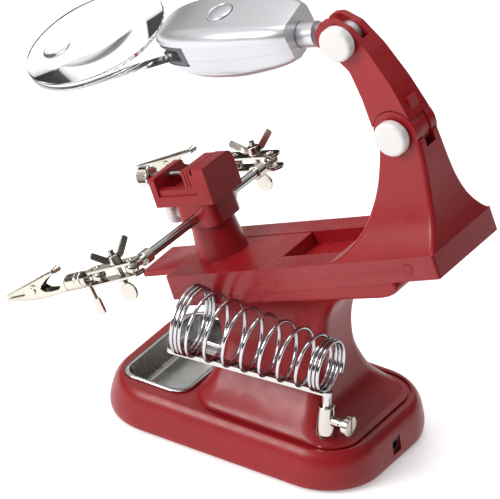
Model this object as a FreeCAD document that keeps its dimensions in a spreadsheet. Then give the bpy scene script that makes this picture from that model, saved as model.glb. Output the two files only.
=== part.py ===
import FreeCAD, Part
import math
import os

from FreeCAD import Placement, Rotation, Vector

# Helping hands station: a weighted base with a tray, a leaning pedestal and deck, a sliding
# carriage with a post, vise and cross rod carrying two clips, an iron holder, and a folding arm
# with a lamp and magnifier. Millimetres, +Z up, origin at the centre of the base's underside.
# +X is the long way of the base (towards the arm), -Y is the side with the iron holder.

doc = FreeCAD.newDocument("helping_hands")

SIZES = {
    "base_length": 191.0,        # along X, at the floor
    "base_width": 122.0,
    "base_height": 27.0,
    "shell_wall": 2.4,
    "tray_length": 49.0,
    "tray_width": 92.0,
    "tray_depth": 18.0,
    "sheet_metal": 1.0,
    "deck_length": 206.0,        # along the leaning deck
    "deck_width": 72.0,
    "deck_height": 16.0,
    "deck_lean": 23.1,           # degrees, right-hand end up
    "channel_width": 36.6,
    "channel_depth": 9.0,
    "slide_gap": 0.3,            # free gap on each side of the carriage
    "carriage_height": 8.4,
    "post_radius": 14.0,
    "rod_radius": 3.0,
    "rod_length": 116.0,
    "running_gap": 0.05,         # radial gap of a shaft in its hole
    "vise_width": 32.0,
    "vise_plate": 4.6,
    "ball_radius": 4.6,
    "joint_plate_thick": 1.5,
    "joint_bolt_radius": 1.9,
    "arm_half_width": 12.0,
    "boss_radius": 15.5,
    "arm_slot": 10.4,
    "tongue_thick": 9.8,
    "bolt_radius": 2.5,
    "knob_radius": 11.5,
    "knob_thick": 8.0,
    "stalk_radius": 8.4,
    "stalk_tang": 6.6,
    "fork_slot": 7.2,
    "lens_radius": 47.0,
    "lens_edge": 6.0,
    "button_radius": 8.6,
    "wire_radius": 1.15,
    "holder_bar_width": 5.0,
    "socket_height": 24.0,
    "coil_big_radius": 22.0,
    "coil_small_radius": 16.4,
}

sheet = doc.addObject("Spreadsheet::Sheet", "Sizes")
for row, (word, value) in enumerate(SIZES.items(), start=1):
    sheet.set("A%d" % row, word)
    sheet.set("B%d" % row, str(value))
    sheet.setAlias("B%d" % row, word)
doc.recompute()

BASE_LENGTH = SIZES["base_length"]
BASE_WIDTH = SIZES["base_width"]
BASE_HEIGHT = SIZES["base_height"]
WALL = SIZES["shell_wall"]
DECK_LENGTH = SIZES["deck_length"]
DECK_WIDTH = SIZES["deck_width"]
DECK_HEIGHT = SIZES["deck_height"]
CHANNEL = SIZES["channel_width"]
DEPTH = SIZES["channel_depth"]
GAP = SIZES["running_gap"]

pieces = {}      # node name -> document object

# Frames: the deck leans about Y, and the head of the post turns a little on the deck.
DECK_CORNER = Vector(-56.5, 0, 102.6)            # left end of the deck's top face, mid width
PLUG_X, PLUG_Z = 184.8, -7.6                     # screw plugs on the deck's long sides
DECK_FRAME = Placement(DECK_CORNER, Rotation(Vector(0, 1, 0), -SIZES["deck_lean"]))
POST_X = 22.0                                    # along the deck
HEAD_TURN = -3.0                                 # degrees about the post
HEAD_FRAME = DECK_FRAME * Placement(Vector(POST_X, 0, 0), Rotation(Vector(0, 0, 1), HEAD_TURN))

X_AXIS, Y_AXIS, Z_AXIS = Vector(1, 0, 0), Vector(0, 1, 0), Vector(0, 0, 1)


# ---------------------------------------------------------------- building blocks
def bind(thing, prop, value):
    """A word with 'Sizes.' in it becomes an expression; a number is set as it is."""
    if isinstance(value, str):
        thing.setExpression(prop, value)
    else:
        setattr(thing, prop, value)


def box(name, length, width, height, corner):
    thing = doc.addObject("Part::Box", name)
    for prop, value in (("Length", length), ("Width", width), ("Height", height)):
        bind(thing, prop, value)
    thing.Placement = Placement(Vector(*corner), Rotation())
    return thing


def slab(name, x_low, x_high, y_low, y_high, z_low, z_high):
    return box(name, x_high - x_low, y_high - y_low, z_high - z_low, (x_low, y_low, z_low))


def cylinder(name, radius, height, start, direction=(0, 0, 1)):
    thing = doc.addObject("Part::Cylinder", name)
    bind(thing, "Radius", radius)
    bind(thing, "Height", height)
    thing.Placement = Placement(Vector(*start), Rotation(Z_AXIS, Vector(*direction)))
    return thing


def ball(name, radius, centre):
    thing = doc.addObject("Part::Sphere", name)
    bind(thing, "Radius", radius)
    thing.Placement = Placement(Vector(*centre), Rotation())
    return thing


def fuse(name, things):
    joined = doc.addObject("Part::MultiFuse", name)
    joined.Shapes = things
    joined.Refine = True
    return joined


def cut(name, body, tools):
    tool = tools[0] if len(tools) == 1 else fuse(name + "_tools", tools)
    result = doc.addObject("Part::Cut", name)
    result.Base = body
    result.Tool = tool
    result.Refine = True
    return result


def common(name, first, second):
    result = doc.addObject("Part::Common", name)
    result.Base = first
    result.Tool = second
    return result


def group(name, things):
    """Several separate solids of one kind in one node."""
    result = doc.addObject("Part::Compound", name)
    result.Links = things
    return result


def outline(points):
    """Lines between (x, y, radius) corners, with an arc of that radius at each corner."""
    edges = []
    ends = []
    count = len(points)
    for index in range(count):
        before = Vector(*points[index - 1][:2], 0)
        here = Vector(*points[index][:2], 0)
        after = Vector(*points[(index + 1) % count][:2], 0)
        radius = points[index][2]
        if radius <= 0:
            ends.append((here, here, None))
            continue
        to_before = (before - here).normalize()
        to_after = (after - here).normalize()
        half = to_before.getAngle(to_after) / 2
        reach = radius / math.tan(half)
        start = here + to_before * reach
        stop = here + to_after * reach
        bisector = (to_before + to_after).normalize()
        centre = here + bisector * (radius / math.sin(half))
        middle = centre - bisector * radius
        ends.append((start, stop, Part.Arc(start, middle, stop)))
    for index in range(count):
        start, stop, arc = ends[index]
        if arc is not None:
            edges.append(arc)
        following = ends[(index + 1) % count][0]
        if stop.distanceToPoint(following) > 1e-6:
            edges.append(Part.LineSegment(stop, following))
    return edges


def rectangle(x_low, x_high, y_low, y_high, radius):
    corners = ((x_low, y_low), (x_high, y_low), (x_high, y_high), (x_low, y_high))
    return outline([(x, y, radius) for x, y in corners])


def pad(name, edges, plane, length, midplane=False, offset=0.0):
    """A PartDesign body with one sketch on an origin plane, padded."""
    body = doc.addObject("PartDesign::Body", name)
    sketch = body.newObject("Sketcher::SketchObject", name + "_outline")
    origin = [part for part in body.Origin.OriginFeatures if part.Role == plane][0]
    sketch.AttachmentSupport = [(origin, "")]
    sketch.MapMode = "FlatFace"
    sketch.AttachmentOffset = Placement(Vector(0, 0, offset), Rotation())
    sketch.addGeometry(edges, False)
    feature = body.newObject("PartDesign::Pad", name + "_pad")
    feature.Profile = sketch
    feature.Midplane = midplane
    bind(feature, "Length", length)
    body.Tip = feature
    return body


def turned(name, points, start, direction=(0, 0, 1)):
    """A PartDesign revolution of a half outline of (radius, height, corner radius) points."""
    body = doc.addObject("PartDesign::Body", name)
    sketch = body.newObject("Sketcher::SketchObject", name + "_outline")
    origin = [part for part in body.Origin.OriginFeatures if part.Role == "XZ_Plane"][0]
    sketch.AttachmentSupport = [(origin, "")]
    sketch.MapMode = "FlatFace"
    sketch.addGeometry(outline(points), False)
    feature = body.newObject("PartDesign::Revolution", name + "_turn")
    feature.Profile = sketch
    feature.ReferenceAxis = (sketch, ["V_Axis"])
    feature.Angle = 360
    body.Tip = feature
    body.Placement = Placement(Vector(*start), Rotation(Z_AXIS, Vector(*direction)))
    return body


def loft(name, sections):
    """Sections are (placement, edges); each becomes a sketch and the loft runs through them."""
    sketches = []
    for index, (placement, edges) in enumerate(sections):
        sketch = doc.addObject("Sketcher::SketchObject", "%s_section_%d" % (name, index))
        sketch.addGeometry(edges, False)
        sketch.Placement = placement
        sketches.append(sketch)
    result = doc.addObject("Part::Loft", name)
    result.Sections = sketches
    result.Solid = True
    result.Ruled = False
    return result


def level(height):
    return Placement(Vector(0, 0, height), Rotation())


def finish(node, thing, frame=Placement()):
    """Files a finished piece under its node name and puts it in its frame."""
    thing.Label = node
    thing.Placement = frame * thing.Placement
    pieces[node] = thing
    return thing


# ---------------------------------------------------------------- base
TRAY_X = -58.5                  # middle of the tray
TRAY_RADIUS = 12.5
DECK_UNDER = -DECK_HEIGHT       # underside of the deck, in the deck's frame
FOOT_HEIGHT = 2.0
BODY_LOW = FOOT_HEIGHT          # the base plate sits this far above the floor
SCREW_SPOTS = [(x, y) for x in (-78, 78) for y in (-30, 30)]
FOOT_SPOTS = [(0, 0)] + [(x, y) for x in (-68, 68) for y in (-42, 42)]
DOOR_LEFT, DOOR_RIGHT = 10.4, 75.6


def base_sections(inset):
    """Rounded rectangles up the base, drawn in by a wall's thickness when inset is given."""
    steps = ((0.0, 0.6, 38.0), (5.0, 0.0, 37.4), (12.0, 0.9, 36.6), (19.0, 2.8, 35.0), (25.0, 7.2, 31.0))
    sections = []
    for height, drawn_in, radius in steps:
        half_x = BASE_LENGTH / 2 - drawn_in - inset
        half_y = BASE_WIDTH / 2 - drawn_in * 0.92 - inset
        z = BODY_LOW + height * (BASE_HEIGHT - BODY_LOW) / 25.0
        z = z - inset if height > 20 else z
        edges = rectangle(-half_x, half_x, -half_y, half_y, radius - inset)
        sections.append((level(z), edges))
    return sections


def make_base():
    outer = loft("base_outer", base_sections(0.0))
    inner = loft("base_inner", base_sections(WALL))
    well = pad("tray_well", rectangle(TRAY_X - SIZES["tray_length"] / 2 + 1.0,
                                      TRAY_X + SIZES["tray_length"] / 2 - 1.0,
                                      -SIZES["tray_width"] / 2 + 1.0,
                                      SIZES["tray_width"] / 2 - 1.0, TRAY_RADIUS - 1.0),
               "XY_Plane", 20.0, offset=BASE_HEIGHT - 12)
    groove_outer = pad("groove_outer", rectangle(-31, 85, -51.6, 51.6, 24), "XY_Plane", 4,
                       offset=BASE_HEIGHT - 1.8)
    groove_inner = pad("groove_inner", rectangle(-40, 82.6, -49.2, 49.2, 21.6), "XY_Plane", 6,
                       offset=BASE_HEIGHT - 3)
    groove = cut("cover_groove", groove_outer, [groove_inner])
    jack_hole = slab("jack_hole", 86, 100, -4.7, 4.7, 7.7, 18.3)
    wire_hole = cylinder("wire_hole", 6, 10, (10, 0, BASE_HEIGHT - 6))
    below_plate = slab("foot_gap", -96, 96, -62, 62, -1, BODY_LOW - 0.01)
    finish("base_shell", cut("base_shell_cut", outer, [inner, well, groove, jack_hole, wire_hole, below_plate]))

    plate_edges = rectangle(-BASE_LENGTH / 2 + 4.6, BASE_LENGTH / 2 - 4.6,
                            -BASE_WIDTH / 2 + 4.6, BASE_WIDTH / 2 - 4.6, 34)
    plate = pad("plate_blank", plate_edges, "XY_Plane", "Sizes.shell_wall", offset=BODY_LOW)
    bay = slab("battery_bay", DOOR_LEFT - 0.4, DOOR_RIGHT + 0.4, -23, 23, 0, 8)
    screw_holes = [cylinder("plate_hole_%d" % i, 1.7, 10, (x, y, 0))
                   for i, (x, y) in enumerate(SCREW_SPOTS)]
    finish("base_bottom_plate", cut("bottom_plate_cut", plate, [bay] + screw_holes))
    finish("battery_door", pad("battery_door_pad", rectangle(DOOR_LEFT, DOOR_RIGHT, -22.6, 22.6, 3), "XY_Plane",
                               "Sizes.shell_wall", offset=BODY_LOW))

    cells = []
    for i in range(3):
        y = (i - 1) * 13.0
        can = cylinder("cell_can_%d" % i, 5.2, 43.0, (DOOR_LEFT + 9.6, y, 10.2), (1, 0, 0))
        nub = cylinder("cell_nub_%d" % i, 1.9, 1.2, (DOOR_LEFT + 52.6, y, 10.2), (1, 0, 0))
        cells.append(fuse("cell_%d" % i, [can, nub]))
    finish("batteries", group("battery_set", cells))

    feet = [turned("foot_%d" % i, [(0, 0, 0), (8, 0, 1), (8, FOOT_HEIGHT, 0), (0, FOOT_HEIGHT, 0)],
                   (x, y, 0)) for i, (x, y) in enumerate(FOOT_SPOTS)]
    finish("rubber_feet", group("feet_set", feet))
    screws = []
    for i, (x, y) in enumerate(SCREW_SPOTS):
        screws.append(turned("base_screw_%d" % i,
                             [(0, 0, 0), (3, 0, 0.4), (3, 1.4, 0), (1.4, 1.4, 0), (1.4, 7, 0), (0, 7, 0)],
                             (x, y, BODY_LOW - 1.4 - 0.02)))
    finish("base_screws", group("screw_set", screws))

    jack_body = slab("jack_body", 84, 93.2, -4.5, 4.5, 7.9, 18.1)
    jack_bore = cylinder("jack_bore", 3.0, 8.4, (85, 0, 13), (1, 0, 0))
    jack_pin = cylinder("jack_pin", 0.9, 6.0, (84.6, 0, 13), (1, 0, 0))
    finish("dc_jack", fuse("jack", [cut("jack_socket", jack_body, [jack_bore]), jack_pin]))


def make_tray():
    thick = SIZES["sheet_metal"]
    half_x, half_y = SIZES["tray_length"] / 2, SIZES["tray_width"] / 2
    depth = SIZES["tray_depth"]
    rim_z = BASE_HEIGHT + 0.1
    pan = loft("pan_outer", [
        (level(rim_z - depth), rectangle(TRAY_X - half_x + 5, TRAY_X + half_x - 5,
                                         -half_y + 5, half_y - 5, TRAY_RADIUS - 3)),
        (level(rim_z), rectangle(TRAY_X - half_x + 2, TRAY_X + half_x - 2,
                                 -half_y + 2, half_y - 2, TRAY_RADIUS - 1))])
    hollow = loft("pan_inner", [
        (level(rim_z - depth + thick), rectangle(TRAY_X - half_x + 5 + thick, TRAY_X + half_x - 5 - thick,
                                                 -half_y + 5 + thick, half_y - 5 - thick, TRAY_RADIUS - 4)),
        (level(rim_z + 3), rectangle(TRAY_X - half_x + 2 + thick, TRAY_X + half_x - 2 - thick,
                                     -half_y + 2 + thick, half_y - 2 - thick, TRAY_RADIUS - 2))])
    rim = pad("pan_rim", rectangle(TRAY_X - half_x, TRAY_X + half_x, -half_y, half_y, TRAY_RADIUS),
              "XY_Plane", 1.6, offset=rim_z)
    finish("tray", cut("tray_pan", fuse("tray_blank", [pan, rim]), [hollow]))


# ---------------------------------------------------------------- pedestal and deck
SOCKET = Vector(63.8, -36.5, 27.05)     # foot of the iron holder's socket
SOCKET_FOOT = 6.8


def tilted(x, z, lean):
    """A section plane at (x, z), leaning about Y."""
    return Placement(Vector(x, 0, z), Rotation(Y_AXIS, -lean))


def pedestal_sections(inset):
    deck_end = DECK_FRAME.multVec(Vector(3, 0, DECK_UNDER))
    lean = SIZES["deck_lean"]
    # x, z of the section's left end, lean, length, half width, corner radius
    table = ((-32.0, BASE_HEIGHT, 0.0, 110.0, 48.0, 20.0),
             (-31.6, BASE_HEIGHT + 2.6, 0.0, 104.0, 46.4, 19.0),
             (-28.0, BASE_HEIGHT + 8.0, 1.0, 90.0, 40.0, 14.0),
             (-24.5, 46.0, 2.0, 80.0, 31.0, 10.0),
             (-23.5, 57.0, 4.0, 75.0, 24.5, 8.0),
             (-27.0, 67.0, 10.0, 78.0, 19.5, 6.0),
             (-33.0, 77.0, 16.0, 88.0, 19.0, 5.0),
             (-39.0, 84.5, 20.0, 112.0, 25.0, 4.0),
             (deck_end.x, deck_end.z, lean, 168.0, 35.4, 3.0))
    sections = []
    for index, (x, z, tip, length, half_width, radius) in enumerate(table):
        drop = inset * 0.6 if index == 0 else 0.0
        edges = rectangle(inset, length - inset, -half_width + inset, half_width - inset,
                          max(radius - inset, 1.0))
        sections.append((tilted(x, z - drop, tip), edges))
    return sections


def make_pedestal():
    outer = loft("pedestal_outer", pedestal_sections(0.0))
    inner = loft("pedestal_inner", pedestal_sections(WALL))
    for side, node in ((-1, "pedestal_front_half"), (1, "pedestal_rear_half")):
        y_low, y_high = (-70, -0.04) if side < 0 else (0.04, 70)
        half = slab(node + "_space", -80, 140, y_low, y_high, 0, 200)
        solid = common(node + "_solid", outer, half)
        tools = [inner]
        if side < 0:
            tools.append(cylinder("socket_seat", SOCKET_FOOT + 0.1, 20.0, (SOCKET.x, SOCKET.y, SOCKET.z - 0.05)))
        finish(node, cut(node + "_shell", solid, tools))


def make_deck():
    half = DECK_WIDTH / 2
    blank = pad("deck_blank", rectangle(0, DECK_LENGTH, -half, half, 2.0), "XY_Plane",
                "Sizes.deck_height", offset=DECK_UNDER)
    channel = slab("deck_channel", -1, 127, -CHANNEL / 2, CHANNEL / 2, -DEPTH, 1)
    under = slab("deck_under", WALL, DECK_LENGTH - WALL, -half + WALL, half - WALL, DECK_UNDER - 1, -11.4)
    rails = [slab("rail_hollow_%d" % i, WALL, DECK_LENGTH - WALL, low, high, -11.5, -WALL)
             for i, (low, high) in enumerate(((-half + WALL, -CHANNEL / 2 - WALL),
                                              (CHANNEL / 2 + WALL, half - WALL)))]
    under_arm = slab("arm_hollow", 127 + WALL, DECK_LENGTH - WALL, -CHANNEL / 2 - 3, CHANNEL / 2 + 3,
                     -11.5, -WALL)
    plug_holes = [cylinder("plug_hole_%d" % i, 3.6, 1.6, (PLUG_X, side * half - 0.8, PLUG_Z), (0, 1, 0))
                  for i, side in enumerate((-1, 1))]
    finish("deck_shell", cut("deck_cut", blank, [channel, under, under_arm] + rails + plug_holes), DECK_FRAME)
    cover = pad("deck_cover", rectangle(WALL + 0.2, DECK_LENGTH - WALL - 0.2, -half + WALL + 0.2,
                                        half - WALL - 0.2, 1.0), "XY_Plane", 2.0, offset=DECK_UNDER + 0.05)
    finish("deck_bottom_plate", cover, DECK_FRAME)
    plugs = [cylinder("plug_%d" % i, 3.5, 1.0, (PLUG_X, side * (half - 0.3) - 0.5, PLUG_Z), (0, 1, 0))
             for i, side in enumerate((-1, 1))]
    finish("screw_plugs", group("plug_pair", plugs), DECK_FRAME)


# ---------------------------------------------------------------- arm
ELBOW = Vector(190, 0, 71.5)            # in the deck's frame
LAMP_PIVOT = Vector(171, 0, 135.5)


def make_lower_arm():
    # height, left, right, half width, corner radius of each level section
    table = ((0.0, 127.0, 205.6, 35.6, 3.0), (3.5, 136.2, 205.2, 31.6, 3.0), (9.0, 144.2, 204.6, 27.0, 3.0),
             (15.5, 151.0, 204.2, 22.8, 3.0), (24.0, 156.8, 204.0, 19.2, 3.0), (34.0, 162.6, 204.2, 16.4, 3.0),
             (45.0, 167.6, 204.8, 14.4, 3.0), (56.0, 171.6, 205.4, 13.0, 3.0), (66.0, 174.4, 205.5, 12.2, 3.0))
    column = loft("lower_arm_column", [(level(z), rectangle(low, high, -half, half, radius))
                                       for z, low, high, half, radius in table])
    boss = cylinder("elbow_boss", "Sizes.boss_radius", "Sizes.arm_half_width * 2",
                    (ELBOW.x, -SIZES["arm_half_width"], ELBOW.z), (0, 1, 0))
    slot_half = SIZES["arm_slot"] / 2
    slot = cylinder("elbow_slot", 19.6, "Sizes.arm_slot", (ELBOW.x, -slot_half, ELBOW.z), (0, 1, 0))
    bore = cylinder("elbow_bore", "Sizes.bolt_radius + Sizes.running_gap", 60, (ELBOW.x, -30, ELBOW.z),
                    (0, 1, 0))
    nut_seat = cylinder("elbow_nut_seat", 5.2, 4, (ELBOW.x, SIZES["arm_half_width"] - 4.2, ELBOW.z), (0, 1, 0))
    nut_open = cylinder("elbow_nut_open", 5.2, 4, (ELBOW.x, SIZES["arm_half_width"] - 3.5, ELBOW.z), (0, 1, 0))
    hollow = loft("lower_arm_hollow", [(level(z), rectangle(low + 3.4, high - 2.8, -half + 3.2, half - 3.2, 1.6))
                                       for z, low, high, half, radius in table[::2][:4]])
    solid = fuse("lower_arm_solid", [column, boss])
    finish("lower_arm", cut("lower_arm_cut", solid, [slot, bore, nut_seat, nut_open, hollow]), DECK_FRAME)
    finish("elbow_nut", hexagon_nut("elbow_nut_blank", ELBOW, SIZES["arm_half_width"] - 4.1), DECK_FRAME)


def hexagon_nut(name, centre, y_low):
    corner, thick = 4.9, 3.4
    points = [(centre.x + corner * math.cos(math.radians(60 * i)),
               centre.z + corner * math.sin(math.radians(60 * i)), 0) for i in range(6)]
    blank = pad(name + "_hexagon", outline(points), "XZ_Plane", thick, offset=-thick)
    hole = cylinder(name + "_hole", 2.5 + GAP, 12, (centre.x, -6, centre.z), (0, 1, 0))
    nut = cut(name, blank, [hole])
    nut.Placement = Placement(Vector(0, y_low, 0), Rotation())
    return nut


def make_upper_arm():
    half = SIZES["arm_half_width"]
    side = [(174.7, 78, 1), (173.4, 96, 20), (170.2, 115, 12), (163, 124, 8), (152.5, 133, 3), (153, 141.5, 5),
            (160, 148.6, 5), (168, 148.8, 6), (178.5, 141.5, 9), (188.6, 124.5, 30), (197.6, 102, 40),
            (204.2, 78, 1)]
    profile = pad("upper_arm_profile", outline([(x, z, radius) for x, z, radius in side]), "XZ_Plane",
                  "Sizes.arm_half_width * 2", midplane=True)
    taper = loft("upper_arm_taper", [(level(76), rectangle(140, 215, -half, half, 3)),
                                     (level(100), rectangle(140, 215, -10.6, 10.6, 3)),
                                     (level(152), rectangle(140, 215, -8.6, 8.6, 3))])
    blade = common("upper_arm_blade", profile, taper)
    scoop = cylinder("elbow_scoop", "Sizes.boss_radius + 0.5", 60, (ELBOW.x, -30, ELBOW.z), (0, 1, 0))
    clipped = cut("upper_arm_clipped", blade, [scoop])
    tongue = cylinder("elbow_tongue", 14.6, "Sizes.tongue_thick",
                      (ELBOW.x, -SIZES["tongue_thick"] / 2, ELBOW.z), (0, 1, 0))
    web = slab("tongue_web", 177.5, 202.5, -SIZES["tongue_thick"] / 2, SIZES["tongue_thick"] / 2, 78, 92)
    bore = cylinder("tongue_bore", "Sizes.bolt_radius + Sizes.running_gap", 60, (ELBOW.x, -30, ELBOW.z),
                    (0, 1, 0))
    slot_half = SIZES["fork_slot"] / 2
    fork = cylinder("fork_gap", 12.5, "Sizes.fork_slot", (LAMP_PIVOT.x, -slot_half, LAMP_PIVOT.z), (0, 1, 0))
    mouth = slab("fork_mouth", 148, 171, -slot_half, slot_half, 120, 152)
    lid = slab("fork_top", 160, 172, -slot_half, slot_half, 135, 152)
    pivot_bore = cylinder("lamp_bore", "Sizes.bolt_radius + Sizes.running_gap", 60,
                          (LAMP_PIVOT.x, -30, LAMP_PIVOT.z), (0, 1, 0))
    solid = fuse("upper_arm_solid", [clipped, tongue, web])
    finish("upper_arm", cut("upper_arm_cut", solid, [bore, fork, mouth, lid, pivot_bore]), DECK_FRAME)
    finish("lamp_tilt_nut", hexagon_nut("tilt_nut_blank", LAMP_PIVOT, 9.5), DECK_FRAME)


def arm_knob(node, centre, face_y, bolt_length):
    """A round knob on the -Y side with its threaded bolt moulded in."""
    radius, thick = SIZES["knob_radius"], SIZES["knob_thick"]
    cap = turned(node + "_cap", [(0, 0, 0), (6.2, 0, 0), (6.2, 0.8, 0), (radius - 0.6, 0.8, 0.5),
                                 (radius, 3.0, 0.8), (radius - 0.5, thick, 1.6), (0, thick + 0.3, 0)],
                 (centre.x, face_y, centre.z), (0, -1, 0))
    bolt = cylinder(node + "_bolt", "Sizes.bolt_radius", bolt_length, (centre.x, face_y, centre.z), (0, 1, 0))
    finish(node, fuse(node + "_whole", [cap, bolt]), DECK_FRAME)


# ---------------------------------------------------------------- carriage, post and head
ROD_Z = 28.7                     # cross rod's axis above the deck
ROD_START = -65.0                # its front end
SWIVEL_Z = 22.3                  # underside of the head
HEAD_HALF = 15.2
VISE_Z = 38.0                    # underside of the vise frame
VISE_SCREW_Z = 53.6


def make_carriage():
    half = CHANNEL / 2 - SIZES["slide_gap"]
    plate = pad("carriage_blank", rectangle(-31, 80, -half, half, 1.0), "XY_Plane",
                "Sizes.carriage_height", offset=-DEPTH + 0.3)
    step = slab("carriage_step", -32, -0.3, -30, 30, -2.6, 1)
    relief = slab("tongue_relief", -32, -0.3, -30, 30, -DEPTH, -6.6)
    finish("carriage", cut("carriage_cut", plate, [step, relief]), DECK_FRAME)
    top = SIZES["carriage_height"] - DEPTH + 0.3
    radius = SIZES["post_radius"]
    column = turned("post_turned", [(0, top, 0), (radius + 2.6, top, 0), (radius, SWIVEL_Z - 0.3, 0.6),
                                    (6.0, SWIVEL_Z - 0.3, 0), (6.0, SWIVEL_Z + 2.4, 0.3),
                                    (0, SWIVEL_Z + 2.4, 0)], (POST_X, 0, 0))
    finish("post", column, DECK_FRAME)


def make_head():
    blank = pad("head_blank", rectangle(-HEAD_HALF, HEAD_HALF, -HEAD_HALF, HEAD_HALF, 7.0), "XY_Plane",
                VISE_Z - SWIVEL_Z, offset=SWIVEL_Z)
    peg = cylinder("head_peg_bore", 6.0 + GAP, 3.0, (0, 0, SWIVEL_Z - 0.3))
    rod = cylinder("head_rod_bore", "Sizes.rod_radius + Sizes.running_gap", 60, (0, -30, ROD_Z), (0, 1, 0))
    stud = cylinder("head_stud_bore", 2.0 + GAP, 20, (-20, 0, ROD_Z), (1, 0, 0))
    finish("post_head", cut("head_cut", blank, [peg, rod, stud]), HEAD_FRAME)

    cap = turned("lock_cap", [(0, 0, 0), (4.6, 0, 0.4), (4.6, 7.2, 0), (7.8, 7.2, 0.6), (7.8, 13.4, 1.6),
                              (0, 13.6, 0)], (-HEAD_HALF - 1.2, 0, ROD_Z), (-1, 0, 0))
    shank = cylinder("lock_shank", 2.0, 14.0, (-HEAD_HALF - 1.8, 0, ROD_Z), (1, 0, 0))
    finish("lock_knob", fuse("lock_knob_whole", [cap, shank]), HEAD_FRAME)

    finish("cross_rod", turned("rod_turned", [(0, 0, 0), (3.0, 0, 0.4), (3.0, SIZES["rod_length"], 0.4),
                                              (0, SIZES["rod_length"], 0)], (0, ROD_START, ROD_Z), (0, 1, 0)),
           HEAD_FRAME)


def make_vise():
    half = SIZES["vise_width"] / 2
    plate = SIZES["vise_plate"]
    left, right = -26.6, 19.6
    bar = pad("vise_bar", rectangle(left, right, -half, half, 1.5), "XY_Plane", 7.0, offset=VISE_Z)
    end_plate = pad("vise_end", outline([(-half, 0, 0), (half, 0, 0), (half, 19.6, 3), (-half, 19.6, 1.5)]),
                    "YZ_Plane", plate, offset=left)
    end_plate.Placement = Placement(Vector(0, 0, VISE_Z), Rotation())
    block = pad("vise_block", outline([(-half, 0, 0), (half, 0, 0), (half, 24.6, 6), (-half, 24.6, 1.2)]),
                "YZ_Plane", 10.0, offset=right - 10.0)
    block.Placement = Placement(Vector(0, 0, VISE_Z), Rotation())
    rails = [slab("vise_rail_%d" % i, left + 1, right - 2, low, high, VISE_Z + 6, VISE_Z + 11)
             for i, (low, high) in enumerate(((-half + 1.4, -half + 7.0), (half - 7.0, half - 1.4)))]
    bore = cylinder("vise_bore", 2.0 + GAP, 10, (left - 2, 0, VISE_SCREW_Z), (1, 0, 0))
    face_step = slab("block_step", right - 10.2, right - 9.2, -half - 1, half + 1, VISE_Z + 20.4, VISE_Z + 26)
    frame = fuse("vise_solid", [bar, end_plate, block] + rails)
    finish("vise_frame", cut("vise_cut", frame, [bore, face_step]), HEAD_FRAME)

    jaw_left, jaw_right = 1.0, right - 10.0 - 0.5
    shoe = slab("jaw_shoe", jaw_left, jaw_right, -half + 7.4, half - 7.4, VISE_Z + 7.3, VISE_Z + 12)
    face = pad("jaw_face", outline([(-half + 0.6, 0, 0), (half - 0.6, 0, 0), (half - 0.6, 12.4, 4),
                                    (-half + 0.6, 12.4, 1)]), "YZ_Plane", jaw_right - jaw_left, offset=jaw_left)
    face.Placement = Placement(Vector(0, 0, VISE_Z + 11.3), Rotation())
    flute = [slab("jaw_flute_%d" % i, x, x + 0.9, -half - 1, -half + 1.1, VISE_Z + 12.4, VISE_Z + 25)
             for i, x in enumerate((3.2, 5.6))]
    top_step = slab("jaw_step", jaw_right - 1.0, jaw_right + 1, -half, half, VISE_Z + 20.4, VISE_Z + 26)
    seat = cylinder("jaw_seat", 2.0 + GAP, 5.0, (jaw_left - 1, 0, VISE_SCREW_Z), (1, 0, 0))
    finish("vise_jaw", cut("jaw_cut", fuse("jaw_solid", [shoe, face]), flute + [top_step, seat]), HEAD_FRAME)

    knob = turned("vise_knob", [(0, 0, 0), (6.6, 0, 0.8), (6.6, 9.0, 0.8), (0, 9.0, 0)],
                  (-36.0, 0, VISE_SCREW_Z), (-1, 0, 0))
    shank = cylinder("vise_shank", 2.0, 40.6, (-36.1, 0, VISE_SCREW_Z), (1, 0, 0))
    finish("vise_screw", fuse("vise_screw_whole", [knob, shank]), HEAD_FRAME)


# ---------------------------------------------------------------- clips
# Clip frame: origin at the ball on the rod's end, -X towards the clip's nose, Z along the clamp bolt.
BOLT_X = -11.0
BALL_REACH = 19.0                # from the rod's end to the ball's centre
CLIP_BALL_X = -29.0
PLATE_LOW = 3.6                  # inner face of each joint plate
SLEEVE_X = -42.0
RIVET_X, RIVET_Z = -84.0, 1.2
NOSE_X = -110.0


def make_rod_ball(node, frame, side):
    """Knurled sleeve screwed onto the rod's end, its neck, and the ball they carry."""
    sleeve = BALL_REACH - 8.0
    stem = turned(node + "_stem", [(0, 2, 0), (2.4, 2, 0), (2.4, sleeve, 0), (4.6, sleeve, 0.5),
                                   (4.6, BALL_REACH - 0.2, 0.5), (0, BALL_REACH - 0.2, 0)],
                  (0, 0, 0), (0, -side, 0))
    sphere = ball(node + "_ball", "Sizes.ball_radius", (0, 0, 0))
    finish(node, fuse(node + "_whole", [stem, sphere]), frame)


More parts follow.
